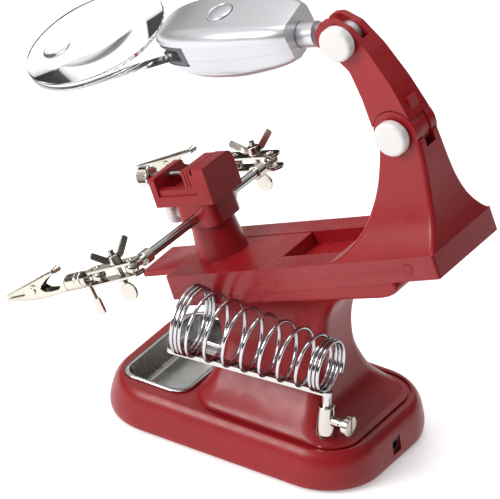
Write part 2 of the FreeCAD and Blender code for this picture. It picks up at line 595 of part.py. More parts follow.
def make_clip(side_name, frame, side, wing_angle):
    """One clip with its double ball joint; side is -1 at the front and +1 at the rear."""
    prefix = side_name + "_"
    thick = SIZES["joint_plate_thick"]
    make_rod_ball(prefix + "rod_ball", frame, side)

    plates = []
    for i, z in enumerate((PLATE_LOW, -PLATE_LOW - thick)):
        blank = pad("%splate_blank_%d" % (prefix, i), rectangle(-36.5, 7.5, -5.6, 5.6, 5.5), "XY_Plane",
                    "Sizes.joint_plate_thick", offset=z)
        holes = [cylinder("%splate_hole_%d_%d" % (prefix, i, j), radius, 6, (x, 0, z - 2))
                 for j, (x, radius) in enumerate(((0, 3.3), (CLIP_BALL_X, 3.3),
                                                  (BOLT_X, SIZES["joint_bolt_radius"] + GAP)))]
        plates.append(cut("%splate_%d" % (prefix, i), blank, holes))
    finish(prefix + "joint_plates", group(prefix + "plate_pair", plates), frame)

    shank = cylinder(prefix + "bolt_shank", "Sizes.joint_bolt_radius", 23.5, (BOLT_X, 0, -9.5))
    disc = cylinder(prefix + "bolt_disc", 6.0, 1.8, (BOLT_X, -0.9, -14.6), (0, 1, 0))
    collar = cylinder(prefix + "bolt_collar", 3.4, 2.0, (BOLT_X, 0, -7.2))
    finish(prefix + "joint_bolt", fuse(prefix + "bolt_whole", [shank, disc, collar]), frame)

    nut_low = PLATE_LOW + thick + 0.15
    hub = turned(prefix + "nut_hub", [(1.95, 0, 0), (4.4, 0, 0.3), (3.8, 5.6, 0.5), (1.95, 5.6, 0)],
                 (BOLT_X, 0, nut_low))
    wings = []
    for turn in (0, 180):
        wing = pad("%swing_%d" % (prefix, turn),
                   outline([(3.2, 1.2, 0), (6.6, 2.4, 2), (14.6, 10.6, 1.2), (12.0, 13.6, 1.2), (3.4, 5.2, 2)]),
                   "XZ_Plane", 2.0, midplane=True)
        wing.Placement = Placement(Vector(BOLT_X, 0, nut_low), Rotation(Z_AXIS, wing_angle + turn))
        wings.append(wing)
    finish(prefix + "wing_nut", fuse(prefix + "nut_whole", [hub] + wings), frame)

    sphere = ball(prefix + "stud_ball", "Sizes.ball_radius", (CLIP_BALL_X, 0, 0))
    neck = cylinder(prefix + "stud_neck", 2.2, 12, (CLIP_BALL_X, 0, 0), (-1, 0, 0))
    clamp = cylinder(prefix + "stud_clamp", 5.0, 3.6, (SLEEVE_X + 3.8, 0, 0), (-1, 0, 0))
    spigot = cylinder(prefix + "stud_spigot", 3.4, 9.0, (SLEEVE_X + 1, 0, 0), (-1, 0, 0))
    thread = cylinder(prefix + "stud_thread", 1.5 + GAP, 12, (SLEEVE_X + 2.0, 0, -9))
    finish(prefix + "clip_stud",
           cut(prefix + "stud_cut", fuse(prefix + "stud_whole", [sphere, neck, clamp, spigot]), [thread]), frame)

    screw = cylinder(prefix + "thumb_shank", 1.5, 14.0, (SLEEVE_X + 2.0, 0, -14.5))
    grip = pad(prefix + "thumb_grip", outline([(-2.7, 0, 1.0), (2.7, 0, 1.0), (2.7, 10.5, 1.2), (-2.7, 10.5, 1.2)]),
               "XZ_Plane", 2.0, midplane=True)
    grip.Placement = Placement(Vector(SLEEVE_X + 2.0, 0, -24.5), Rotation())
    finish(prefix + "thumb_screw", fuse(prefix + "thumb_whole", [screw, grip]), frame)
    make_jaws(prefix, frame)


def jaw_plan(name, half_widths, z_low, z_high):
    """Plan view of a jaw, widening from nose to tail."""
    lower = [(x, -half, 0) for x, half in half_widths]
    upper = [(x, half, 0) for x, half in reversed(half_widths)]
    return pad(name, outline(lower + upper), "XY_Plane", z_high - z_low, offset=z_low)


def make_jaws(prefix, frame):
    side = outline([(NOSE_X, -0.15, 0), (-92, -0.15, 0), (-89, 3.4, 1), (-84, 5.2, 2), (-79, 3.4, 1),
                    (-74, -1.2, 2), (-62, -2.0, 4), (-57, 3.0, 2), (-54, 3.0, 0), (-54, -4.6, 0), (-62, -4.8, 6),
                    (-84, -5.4, 20), (-100, -3.2, 20), (NOSE_X, -1.9, 0.6)])
    lower = common(prefix + "lower_side",
                   pad(prefix + "lower_profile", side, "XZ_Plane", 12, midplane=True),
                   jaw_plan(prefix + "lower_plan", ((NOSE_X, 1.7), (-92, 3.7), (-80, 4.2), (-54, 4.2)), -8, 8))
    pocket_side = pad(prefix + "lower_pocket_side",
                      outline([(-107, 0.5, 0), (-107, -0.9, 0), (-100, -2.3, 0), (-84, -4.5, 0), (-62, -4.0, 0),
                               (-60, -3.4, 0), (-60, 8, 0), (-107, 8, 0)]), "XZ_Plane", 12, midplane=True)
    pocket = common(prefix + "lower_pocket", pocket_side,
                    jaw_plan(prefix + "lower_pocket_plan",
                             ((-107, 1.3), (-92, 3.0), (-80, 3.5), (-60, 3.5)), -8, 9))
    rivet_hole = cylinder(prefix + "lower_rivet_hole", 1.4 + GAP, 12, (RIVET_X, -6, RIVET_Z), (0, 1, 0))
    jaw = cut(prefix + "lower_hollow", lower, [pocket, rivet_hole])
    barrel = cylinder(prefix + "barrel", 5.4, 13.4, (SLEEVE_X, 0, 0), (-1, 0, 0))
    bore = cylinder(prefix + "barrel_bore", 3.4 + GAP, 9.6, (SLEEVE_X + 1, 0, 0), (-1, 0, 0))
    finish(prefix + "lower_jaw", cut(prefix + "lower_whole", fuse(prefix + "lower_joined", [jaw, barrel]), [bore]),
           frame)

    side = outline([(NOSE_X, 0.15, 0), (-90.5, 0.15, 1), (-87, -2.2, 2), (-81, -2.2, 2), (-76, 3.2, 4),
                    (-67, 8.4, 4), (-63, 8.8, 0), (-63, 10.0, 0), (-68, 10.2, 4), (-84, 6.6, 20),
                    (-98, 4.2, 20), (NOSE_X, 1.8, 0.6)])
    upper = common(prefix + "upper_side",
                   pad(prefix + "upper_profile", side, "XZ_Plane", 12, midplane=True),
                   jaw_plan(prefix + "upper_plan", ((NOSE_X, 1.5), (-92, 2.7), (-80, 3.2), (-60, 3.2)), -8, 14))
    hollow_side = pad(prefix + "upper_pocket_side",
                      outline([(-107, -8, 0), (-72, -8, 0), (-72, 4.6, 0), (-84, 5.6, 0), (-98, 3.2, 0),
                               (-107, 1.3, 0)]), "XZ_Plane", 12, midplane=True)
    hollow = common(prefix + "upper_pocket", hollow_side,
                    jaw_plan(prefix + "upper_pocket_plan", ((-107, 1.0), (-92, 2.0), (-80, 2.5), (-72, 2.5)), -9, 14))
    hole = cylinder(prefix + "upper_rivet_hole", 1.4 + GAP, 12, (RIVET_X, -6, RIVET_Z), (0, 1, 0))
    curl = cut(prefix + "curl", cylinder(prefix + "curl_outer", 2.4, 6.0, (-61.6, -3.0, 10.4), (0, 1, 0)),
               [cylinder(prefix + "curl_inner", 1.3, 8.0, (-61.6, -4.0, 10.4), (0, 1, 0))])
    finish(prefix + "upper_jaw", fuse(prefix + "upper_whole", [cut(prefix + "upper_hollow", upper, [hollow, hole]),
                                                               curl]), frame)

    rivet = cylinder(prefix + "rivet_shank", 1.4, 9.2, (RIVET_X, -4.6, RIVET_Z), (0, 1, 0))
    heads = [cylinder("%srivet_head_%d" % (prefix, i), 2.3, 0.7, (RIVET_X, y, RIVET_Z), (0, 1, 0))
             for i, y in enumerate((-4.95, 4.25))]
    finish(prefix + "clip_rivet", fuse(prefix + "rivet_whole", [rivet] + heads), frame)

    rings = []
    for i in range(3):
        ring = doc.addObject("Part::Torus", "%sspring_ring_%d" % (prefix, i))
        ring.Radius1, ring.Radius2 = 2.15, 0.35
        ring.Placement = Placement(Vector(RIVET_X, (i - 1) * 0.9, RIVET_Z), Rotation(X_AXIS, 90))
        rings.append(ring)
    leg = cylinder(prefix + "spring_leg", 0.35, 10.0, (RIVET_X, 0, RIVET_Z - 2.15), (1, 0, -0.12))
    finish(prefix + "clip_spring", group(prefix + "spring_parts", rings + [leg]), frame)


# ---------------------------------------------------------------- iron holder
ELBOW_RISE = 33.0                # from the socket's foot to the bar's knuckle
HOLDER_TURN, HOLDER_RISE = 16.8, 7.7             # degrees: swung to the front, rising to the mouth
HOLDER_FRAME = Placement(SOCKET + Vector(0, 0, ELBOW_RISE), Rotation(180 + HOLDER_TURN, -HOLDER_RISE, 0))
BAR_THICK = 3.0
BAR_LENGTH = 104.0
COIL_MOUTH = 92.5               # the first ring's place along the bar
CLOSE_STEP, OPEN_STEP, LAST_STEP = 2.5, 11.6, 9.9
RING_TURN, RING_TIP = -14.0, 8.0                 # degrees each ring leans from square to the bar


def make_holder():
    socket_high = SIZES["socket_height"]
    blank = turned("socket_turned", [(0, 0, 0), (SOCKET_FOOT, 0, 0), (SOCKET_FOOT, 5, 2),
                                      (5.2, socket_high, 0.6), (0, socket_high, 0)], tuple(SOCKET))
    boss = cylinder("socket_boss", 3.4, 10.0, (SOCKET.x, SOCKET.y, SOCKET.z + 14), (1, 0, 0))
    bore = cylinder("socket_bore", 3.4 + GAP, 18, (SOCKET.x, SOCKET.y, SOCKET.z + 6))
    thread = cylinder("socket_thread", 1.6 + GAP, 12, (SOCKET.x, SOCKET.y, SOCKET.z + 14), (1, 0, 0))
    finish("holder_socket", cut("socket_cut", fuse("socket_solid", [blank, boss]), [bore, thread]))

    head = turned("thumb_head", [(0, 0, 0), (3.0, 0, 0), (3.0, 3.5, 0), (6.8, 3.5, 0.8), (6.8, 8.0, 0.8), (0, 8.0, 0)],
                  (SOCKET.x + 10.3, SOCKET.y, SOCKET.z + 14), (1, 0, 0))
    slot = slab("thumb_slot", SOCKET.x + 16.8, SOCKET.x + 19, SOCKET.y - 0.8, SOCKET.y + 0.8,
                SOCKET.z + 6, SOCKET.z + 22)
    shank = cylinder("thumb_shank", 1.6, 7.2, (SOCKET.x + 3.8, SOCKET.y, SOCKET.z + 14), (1, 0, 0))
    finish("holder_thumb_screw", cut("thumb_cut", fuse("thumb_solid", [head, shank]), [slot]))

    half = SIZES["holder_bar_width"] / 2
    strip = pad("bar_strip", outline([(-3.3, -half, 2.4), (BAR_LENGTH, -half - 1.0, 3.2),
                                      (BAR_LENGTH, half + 1.0, 3.2), (-3.3, half, 2.4)]), "XY_Plane",
                BAR_THICK, midplane=True)
    strip.Placement = HOLDER_FRAME
    rivet = cylinder("bar_rivet", 1.8, BAR_THICK + 1.6, (BAR_LENGTH - 5.0, 0, -BAR_THICK / 2 - 0.8))
    rivet.Placement = HOLDER_FRAME * rivet.Placement
    leg = cylinder("bar_leg", 3.3, ELBOW_RISE - 7.0, (SOCKET.x, SOCKET.y, SOCKET.z + 7.0))
    knuckle = cylinder("bar_knuckle", 3.3, BAR_THICK - 0.2, (0, 0, 0.1 - BAR_THICK / 2))
    knuckle.Placement = HOLDER_FRAME * knuckle.Placement
    finish("holder_bar", fuse("bar_whole", [strip, leg, knuckle, rivet]))

    # The coil is a row of rings here: close turns at both ends and open turns between, each
    # standing on the bar and leaning a little, their radius falling evenly to the tail.
    wire = SIZES["wire_radius"]
    stations = [COIL_MOUTH - CLOSE_STEP * i for i in range(4)]
    stations += [stations[-1] - OPEN_STEP * (i + 1) for i in range(6)]
    stations += [stations[-1] - LAST_STEP - CLOSE_STEP * i for i in range(4)]
    first, last = stations[0], stations[-1]
    ring_turn = Rotation(Z_AXIS, RING_TURN) * Rotation(Y_AXIS, RING_TIP)
    rings = []
    for i, x in enumerate(stations):
        share = (first - x) / (first - last)
        radius = SIZES["coil_big_radius"] + (SIZES["coil_small_radius"] - SIZES["coil_big_radius"]) * share
        ring = doc.addObject("Part::Torus", "coil_ring_%d" % i)
        ring.Radius1 = radius
        bind(ring, "Radius2", "Sizes.wire_radius")
        centre = Vector(x, 0, BAR_THICK / 2 + wire) + ring_turn.multVec(Z_AXIS) * radius
        ring.Placement = HOLDER_FRAME * Placement(centre, ring_turn * Rotation(Y_AXIS, 90))
        rings.append(ring)
    finish("coil_spring", group("coil_rings", rings))


# ---------------------------------------------------------------- lamp and magnifier
LAMP_AXIS_Z = 137.0
LAMP_TILT = 2.0                  # degrees the stalk is tilted on the arm, lens up
LAMP_TWIST = 14.0                # degrees the lamp is turned on its stalk, near side down
STALK_FRAME = (DECK_FRAME * Placement(LAMP_PIVOT, Rotation(Y_AXIS, LAMP_TILT))
               * Placement(LAMP_PIVOT * -1, Rotation()))
LAMP_FRAME = (STALK_FRAME * Placement(Vector(0, 0, LAMP_AXIS_Z), Rotation(X_AXIS, LAMP_TWIST))
              * Placement(Vector(0, 0, -LAMP_AXIS_Z), Rotation()))
LAMP_SPLIT = 139.0
LENS_X, LENS_Z = -19.0, 142.0
BUTTON_X = 84.4


def lamp_sections(inset):
    # along the deck, half width, bottom, top
    table = ((38.0, 13.0, 133.0, 152.0), (44.0, 17.5, 128.5, 154.4), (54.0, 21.0, 124.6, 156.4),
             (68.0, 23.2, 121.6, 157.6), (84.0, 24.2, 121.0, 158.0), (100.0, 24.0, 121.6, 157.6),
             (116.0, 22.4, 123.4, 156.4), (130.0, 19.5, 125.6, 154.4), (137.0, 16.0, 127.6, 152.6))
    sections = []
    for index, (x, half, low, high) in enumerate(table):
        shift = inset if index == 0 else (-inset if index == len(table) - 1 else 0.0)
        radius = min(half, (high - low) / 2) * 0.5 - inset
        edges = rectangle(low + inset, high - inset, -half + inset, half - inset, radius)
        # sketch x runs along the deck's normal, sketch y across
        sections.append((Placement(Vector(x + shift, 0, 0), Rotation(Y_AXIS, -90)), edges))
    return sections


def make_lamp():
    pivot = (LAMP_PIVOT.x, LAMP_PIVOT.y, LAMP_PIVOT.z)
    tang_half = SIZES["stalk_tang"] / 2
    stalk = cylinder("stalk_barrel", "Sizes.stalk_radius", 30.0, (119.0, 0, 137.0), (1, 0, 0))
    tang = slab("stalk_tang", 146.0, 171.0, -tang_half, tang_half, 129.5, 143.0)
    eye = cylinder("stalk_eye", 8.0, "Sizes.stalk_tang", (pivot[0], -tang_half, pivot[2]), (0, 1, 0))
    bore = cylinder("stalk_bore", "Sizes.bolt_radius + Sizes.running_gap", 60, (pivot[0], -30, pivot[2]), (0, 1, 0))
    spigot = cylinder("stalk_spigot", 5.0, 14.0, (108.0, 0, 137.0), (1, 0, 0))
    collar = cylinder("stalk_collar", 7.0, 3.0, (108.0, 0, 137.0), (1, 0, 0))
    barrel = cut("stalk_shoulder", stalk, [slab("stalk_trim", 118, 137.4, -12, 12, 120, 150)])
    neck = cylinder("stalk_neck", 5.0, 20.0, (118.0, 0, 137.0), (1, 0, 0))
    finish("lamp_stalk", cut("stalk_cut", fuse("stalk_solid", [barrel, neck, tang, eye, spigot, collar]), [bore]),
           STALK_FRAME)

    outer = loft("lamp_outer", lamp_sections(0.0))
    inner = loft("lamp_inner", lamp_sections(2.0))
    slot = slab("lamp_slot", 30, 62.5, -30, 30, 134.2, 148.8)
    collar_gap = cylinder("lamp_collar_gap", 7.6, 4.2, (107.4, 0, 137.0), (1, 0, 0))
    stalk_hole = cylinder("lamp_stalk_hole", 5.0 + GAP, 40, (110.0, 0, 137.0), (1, 0, 0))
    wall = common("lamp_bearing", outer, slab("bearing_wall", 111.8, 116.8, -40, 40, 110, 170))
    button_hole = cylinder("button_hole", "Sizes.button_radius + 0.3", 10, (BUTTON_X, 0, 152))
    led_hole = slab("window_hole", 66, 92, -11, 11, 118, 124)
    for node, low, high, holes in (("lamp_bottom_shell", 110, LAMP_SPLIT - 0.04, [led_hole]),
                                   ("lamp_top_shell", LAMP_SPLIT + 0.04, 170, [button_hole])):
        half_space = slab(node + "_space", 20, 150, -40, 40, low, high)
        shell = cut(node + "_hollow", common(node + "_solid", outer, half_space), [inner])
        bearing = common(node + "_bearing", wall, slab(node + "_bearing_space", 100, 130, -20, 20, low, high))
        whole = fuse(node + "_whole", [shell, bearing])
        finish(node, cut(node + "_cut", whole, [slot, collar_gap, stalk_hole] + holes), LAMP_FRAME)

    radius = SIZES["button_radius"]
    cap = turned("button_cap", [(0, 0, 0), (radius - 2, 0, 0), (radius - 2, 2.5, 0), (radius, 2.5, 0),
                                (radius, 6.6, 1.4), (0, 7.4, 0)], (BUTTON_X, 0, 152.6))
    finish("lamp_button", cap, LAMP_FRAME)
    board = slab("led_plate", 64, 98, -13, 13, 125.4, 127.0)
    leds = [turned("led_%d" % i, [(0, 0, 0), (2.5, 0, 1.8), (2.5, 3.0, 0), (0, 3.0, 0)], (x, y, 122.4))
            for i, (x, y) in enumerate(((74, -5), (74, 5)))]
    finish("led_board", fuse("led_board_whole", [board] + leds), LAMP_FRAME)
    pane = slab("window_pane", 66.3, 91.7, -10.7, 10.7, 119.8, 121.6)
    finish("lamp_window", pane, LAMP_FRAME)

    grip_outline = [(41, 134.5, 0), (60.0, 134.5, 5), (67.0, 141.5, 5), (60.0, 148.5, 5), (41, 148.5, 0),
                    (41, 145.8, 0), (57.0, 145.8, 0), (57.0, 137.2, 0), (41, 137.2, 0)]
    grip_blank = pad("grip_blank", outline(grip_outline), "XZ_Plane", 46, midplane=True)
    grip_limits = common("grip_within", grip_blank, loft("grip_limits", lamp_sections(0.4)))
    keep = slab("grip_keep", 38, 62.2, -40, 40, 130, 150)
    finish("lens_grip", common("grip_whole", grip_limits, keep), LAMP_FRAME)

    radius, edge = SIZES["lens_radius"], SIZES["lens_edge"]
    dome = 4.5
    disc = turned("lens_disc", [(0, -edge / 2 - dome, 0), (radius * 0.55, -edge / 2 - dome * 0.72, 60),
                                (radius - 1.5, -edge / 2, 0), (radius, -edge / 2 + 1.0, 0),
                                (radius, edge / 2 - 1.0, 0), (radius - 1.5, edge / 2, 0),
                                (radius * 0.55, edge / 2 + dome * 0.72, 60), (0, edge / 2 + dome, 0)],
                  (LENS_X, 0, LENS_Z))
    # straight sides run from the disc's edge to the grip
    paddle = pad("lens_paddle", outline([(LENS_X + 15, -44.4, 0), (56.8, -19.5, 0), (56.8, 19.5, 0),
                                         (LENS_X + 15, 44.4, 0)]), "XY_Plane", 5.8, offset=LENS_Z - 2.9)
    tab = slab("lens_tab", 42.0, 56.8, -14, 14, 137.6, 145.4)
    finish("magnifier_lens", fuse("lens_whole", [disc, paddle, tab]), LAMP_FRAME)


def main():
    front = HEAD_FRAME * Placement(Vector(0, ROD_START - BALL_REACH, ROD_Z), Rotation(Y_AXIS, -8.5))
    rear_end = ROD_START + SIZES["rod_length"] + BALL_REACH
    rear = HEAD_FRAME * Placement(Vector(0, rear_end, ROD_Z), Rotation(Y_AXIS, 0.5))
    make_base()
    make_tray()
    make_pedestal()
    make_deck()
    make_lower_arm()
    make_upper_arm()
    arm_knob("elbow_knob", ELBOW, -SIZES["arm_half_width"] - 0.3, 25.0)
    arm_knob("lamp_tilt_knob", LAMP_PIVOT, -9.8, 21.6)
    make_carriage()
    make_head()
    make_vise()
    make_clip("front", front, -1, 67)
    make_clip("rear", rear, 1, 41)
    make_holder()
    make_lamp()

    doc.recompute()
    for thing in doc.Objects:
        if "Invalid" in thing.State or "Error" in thing.State:
            raise RuntimeError("%s did not build: %s" % (thing.Name, thing.State))
    os.makedirs("parts", exist_ok=True)
    for node, thing in pieces.items():
        shape = thing.Shape
        if shape.isNull() or not shape.isValid() or not shape.Solids:
            raise RuntimeError("%s has no valid shape" % node)
        shape.exportStep("parts/%s.step" % node)
        box_now = shape.BoundBox
        print("%-22s solids %d volume %9.1f  x %.1f..%.1f  y %.1f..%.1f  z %.1f..%.1f"
              % (node, len(shape.Solids), shape.Volume, box_now.XMin, box_now.XMax,
                 box_now.YMin, box_now.YMax, box_now.ZMin, box_now.ZMax))
    print("nodes", len(pieces))


main()
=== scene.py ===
import math

import bmesh
import bpy
from mathutils import Matrix, Vector

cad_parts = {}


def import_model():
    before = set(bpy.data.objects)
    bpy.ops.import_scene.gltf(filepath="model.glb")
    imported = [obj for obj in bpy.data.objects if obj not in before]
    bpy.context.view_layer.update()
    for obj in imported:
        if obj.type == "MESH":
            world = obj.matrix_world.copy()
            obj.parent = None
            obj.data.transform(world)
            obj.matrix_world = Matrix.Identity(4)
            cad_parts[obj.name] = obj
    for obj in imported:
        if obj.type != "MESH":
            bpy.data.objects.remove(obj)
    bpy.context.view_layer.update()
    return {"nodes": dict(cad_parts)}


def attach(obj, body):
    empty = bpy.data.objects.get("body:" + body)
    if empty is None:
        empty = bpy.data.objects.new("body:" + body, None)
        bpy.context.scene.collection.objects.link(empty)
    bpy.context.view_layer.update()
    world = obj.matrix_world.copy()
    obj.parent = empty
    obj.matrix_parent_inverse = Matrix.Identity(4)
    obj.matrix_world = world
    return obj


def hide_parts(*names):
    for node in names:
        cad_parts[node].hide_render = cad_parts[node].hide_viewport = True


# Looks for the helping hands station. Blender works in metres: +Z is up, +X points to the arm and
# -Y to the side with the iron holder. Sizes below are in millimetres, and MM scales them.
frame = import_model()
MM = 0.001
SCENE = bpy.context.scene.collection

# ------------------------------------------------------------------ frames shared with the design


def place(x, y, z, turn=None):
    """A move in millimetres, after an optional turn, as a matrix in metres."""
    matrix = Matrix.Translation(Vector((x, y, z)) * MM)
    return matrix @ turn if turn else matrix


def turn_about(axis, degrees):
    return Matrix.Rotation(math.radians(degrees), 4, axis)


# Every part of the deck, head and lamp is laid out level, in the deck's own frame, and then
# leaned with it. Angles are in degrees.
DECK_LEAN = 23.1
DECK = place(-56.5, 0, 102.6, turn_about("Y", -DECK_LEAN))
POST_X, HEAD_TURN = 22.0, -3.0
HEAD = DECK @ place(POST_X, 0, 0, turn_about("Z", HEAD_TURN))
ELBOW_PIVOT_X, ELBOW_PIVOT_Z = 190.0, 71.5
LAMP_PIVOT_X, LAMP_PIVOT_Z = 171.0, 135.5
LAMP_AXIS_Z, LAMP_TILT, LAMP_TWIST = 137.0, 2.0, 14.0
STALK = (DECK @ place(LAMP_PIVOT_X, 0, LAMP_PIVOT_Z, turn_about("Y", LAMP_TILT))
         @ place(-LAMP_PIVOT_X, 0, -LAMP_PIVOT_Z))
LAMP = (STALK @ place(0, 0, LAMP_AXIS_Z, turn_about("X", LAMP_TWIST))
        @ place(0, 0, -LAMP_AXIS_Z))
ROD_Z, FRONT_END_Y, REAR_END_Y = 28.7, -84, 70
FRONT_DIP, REAR_DIP = -8.5, 0.5
FRONT = HEAD @ place(0, FRONT_END_Y, ROD_Z, turn_about("Y", FRONT_DIP))
REAR = HEAD @ place(0, REAR_END_Y, ROD_Z, turn_about("Y", REAR_DIP))
SOCKET = Vector((63.8, -36.5, 27.05))
KNUCKLE_RISE, HOLDER_TURN, HOLDER_RISE = 33.0, 196.8, 7.7
HOLDER = (place(SOCKET.x, SOCKET.y, SOCKET.z + KNUCKLE_RISE)
          @ turn_about("Z", HOLDER_TURN) @ turn_about("Y", -HOLDER_RISE))


# ------------------------------------------------------------------ materials
def nodes_of(material):
    return material.node_tree.nodes, material.node_tree.links


def shader(name, colour, roughness, metallic=0.0, coat=0.0, coat_roughness=0.1, ior=1.46,
           transmission=0.0, specular=0.5):
    """A new material and its Principled shader, with the values that are the same all over."""
    material = bpy.data.materials.new(name)
    material.use_nodes = True
    bsdf = material.node_tree.nodes["Principled BSDF"]
    values = {"Base Color": (*colour, 1), "Roughness": roughness, "Metallic": metallic,
              "Coat Weight": coat, "Coat Roughness": coat_roughness, "IOR": ior,
              "Transmission Weight": transmission, "Specular IOR Level": specular}
    for socket, value in values.items():
        bsdf.inputs[socket].default_value = value
    return material, bsdf


def noise(material, scale, detail=3.0, stretch=(1, 1, 1)):
    """Noise in the object's own space; scale counts features per metre."""
    nodes, links = nodes_of(material)
    where = nodes.new("ShaderNodeTexCoord")
    fit = nodes.new("ShaderNodeMapping")
    fit.inputs["Scale"].default_value = stretch
    texture = nodes.new("ShaderNodeTexNoise")
    texture.inputs["Scale"].default_value = scale
    texture.inputs["Detail"].default_value = detail
    links.new(where.outputs["Object"], fit.inputs["Vector"])
    links.new(fit.outputs["Vector"], texture.inputs["Vector"])
    return texture.outputs["Fac"]


def spread(material, source, low, high, socket, centre=(0.35, 0.65)):
    """Maps a texture's value into [low, high] on a shader socket."""
    nodes, links = nodes_of(material)
    fit = nodes.new("ShaderNodeMapRange")
    fit.inputs["From Min"].default_value, fit.inputs["From Max"].default_value = centre
    fit.inputs["To Min"].default_value, fit.inputs["To Max"].default_value = low, high
    links.new(source, fit.inputs["Value"])
    links.new(fit.outputs["Result"], socket)


def tint(material, source, dark, light, socket, centre=(0.35, 0.65)):
    """Blends a texture's value between two colours on a shader socket."""
    nodes, links = nodes_of(material)
    ramp = nodes.new("ShaderNodeValToRGB")
    ramp.color_ramp.elements[0].position, ramp.color_ramp.elements[1].position = centre
    ramp.color_ramp.elements[0].color = (*dark, 1)
    ramp.color_ramp.elements[1].color = (*light, 1)
    links.new(source, ramp.inputs["Fac"])
    links.new(ramp.outputs["Color"], socket)


def bump(material, bsdf, layers):
    """Layers are (height source, strength, depth in metres)."""
    nodes, links = nodes_of(material)
    previous = None
    for source, strength, depth in layers:
        step = nodes.new("ShaderNodeBump")
        step.inputs["Strength"].default_value = strength
        step.inputs["Distance"].default_value = depth
        links.new(source, step.inputs["Height"])
        if previous:
            links.new(previous, step.inputs["Normal"])
        previous = step.outputs["Normal"]
    links.new(previous, bsdf.inputs["Normal"])


def plastic(name, colour, roughness, coat=0.3, grain=2600, grain_depth=0.00001, wander=0.05,
            specular=0.5):
    """Moulded plastic: faint colour drift, uneven gloss, fine mould grain and a slow waviness."""
    material, bsdf = shader(name, colour, roughness, coat=coat, coat_roughness=0.12,
                            specular=specular)
    dark = tuple(c * (1 - wander) for c in colour)
    light = tuple(min(1, c * (1 + wander)) for c in colour)
    drift, gloss, wave, wave_depth = 9, 120, 14, 0.0004
    tint(material, noise(material, drift, 3), dark, light, bsdf.inputs["Base Color"])
    spread(material, noise(material, gloss, 5), roughness * 0.9, roughness * 1.15,
           bsdf.inputs["Roughness"])
    bump(material, bsdf, [(noise(material, grain, 2), 0.2, grain_depth),
                          (noise(material, wave, 1), 0.06, wave_depth)])
    return material


def metal(name, colour, roughness, brushed=None, wear=0.3, grain=900, edge=0.35):
    """Plated or bare metal that darkens at its edges; brushed stretches the grain along axes."""
    material, bsdf = shader(name, colour, roughness, metallic=1.0)
    bsdf.inputs["Specular Tint"].default_value = (edge, edge * 0.96, edge * 0.9, 1)
    dull = tuple(c * (1 - wear * 0.35) for c in colour)
    tarnish, gloss, dents = 16, 90, 40
    grain_depth, dent_depth = 0.000008, 0.00006
    tint(material, noise(material, tarnish, 4), dull, colour, bsdf.inputs["Base Color"],
         (0.3, 0.6))
    spread(material, noise(material, gloss, 5), roughness * 0.85, roughness * 1.25,
           bsdf.inputs["Roughness"])
    bump(material, bsdf, [(noise(material, grain, 4, brushed or (1, 1, 1)), 0.1, grain_depth),
                          (noise(material, dents, 2), 0.08, dent_depth)])
    return material


def paint(name, colour, roughness):
    """Metallic paint on plastic: fine flake in the colour under a smooth clear coat."""
    material, bsdf = shader(name, colour, roughness, metallic=0.72, coat=0.5, coat_roughness=0.08)
    dark = tuple(c * 0.93 for c in colour)
    flake, gloss, grain, grain_depth = 5200, 60, 4200, 0.000005
    tint(material, noise(material, flake, 2), dark, colour, bsdf.inputs["Base Color"], (0.3, 0.7))
    spread(material, noise(material, gloss, 3), roughness * 0.92, roughness * 1.08,
           bsdf.inputs["Roughness"])
    bump(material, bsdf, [(noise(material, grain, 2), 0.08, grain_depth)])
    return material


def clear(name, colour, roughness, ior):
    """Clear plastic with faint haze in patches and a slow waviness."""
    material, bsdf = shader(name, colour, roughness, ior=ior, transmission=1.0)
    haze, wave, wave_depth = 400, 35, 0.0001
    spread(material, noise(material, haze, 5), roughness, roughness + 0.03,
           bsdf.inputs["Roughness"], (0.45, 0.75))
    bump(material, bsdf, [(noise(material, wave, 1), 0.05, wave_depth)])
    return material


RED = (0.262, 0.0072, 0.0108)
MATERIALS = {
    "red": plastic("red_plastic", RED, 0.36, coat=0.10, wander=0.09, specular=0.36),
    "red_deck": plastic("red_deck_plastic", RED, 0.28, coat=0.22, wander=0.09, specular=0.36),
    "silver": paint("silver_paint", (0.60, 0.595, 0.62), 0.30),
    "white": plastic("white_plastic", (0.66, 0.635, 0.625), 0.30, coat=0.3, wander=0.02),
    "black": plastic("black_plastic", (0.018, 0.018, 0.02), 0.42, coat=0.1),
    "grip": plastic("grip_rubber", (0.10, 0.11, 0.12), 0.62, coat=0.0, grain=1500,
                    grain_depth=0.00006),
    "rubber": plastic("foot_rubber", (0.02, 0.02, 0.02), 0.75, coat=0.0, grain=1400,
                      grain_depth=0.00008),
    "cell": plastic("cell_wrap", (0.04, 0.08, 0.16), 0.3),
    "board": plastic("led_board", (0.78, 0.78, 0.72), 0.5, coat=0.0),
    "chrome": metal("nickel_plate", (0.62, 0.585, 0.53), 0.13),
    "rod": metal("polished_rod", (0.50, 0.485, 0.46), 0.12, brushed=(1, 0.05, 1), edge=0.2),
    "clip": metal("clip_nickel", (0.68, 0.635, 0.56), 0.22, wear=0.6, grain=700),
    "steel": metal("plain_steel", (0.50, 0.49, 0.47), 0.30, wear=0.7),
    "tray": metal("tray_steel", (0.47, 0.465, 0.455), 0.24, brushed=(0.04, 1, 1), wear=0.25,
                  grain=1600),
    "holder": metal("holder_steel", (0.66, 0.65, 0.635), 0.15, wear=0.3),
    "coil": metal("coil_steel", (0.62, 0.62, 0.64), 0.10, wear=0.2, edge=0.15),
    "lens": clear("lens_acrylic", (0.97, 0.985, 0.98), 0.0, 1.49),
    "window": clear("window_plastic", (0.92, 0.93, 0.93), 0.25, 1.45),
}

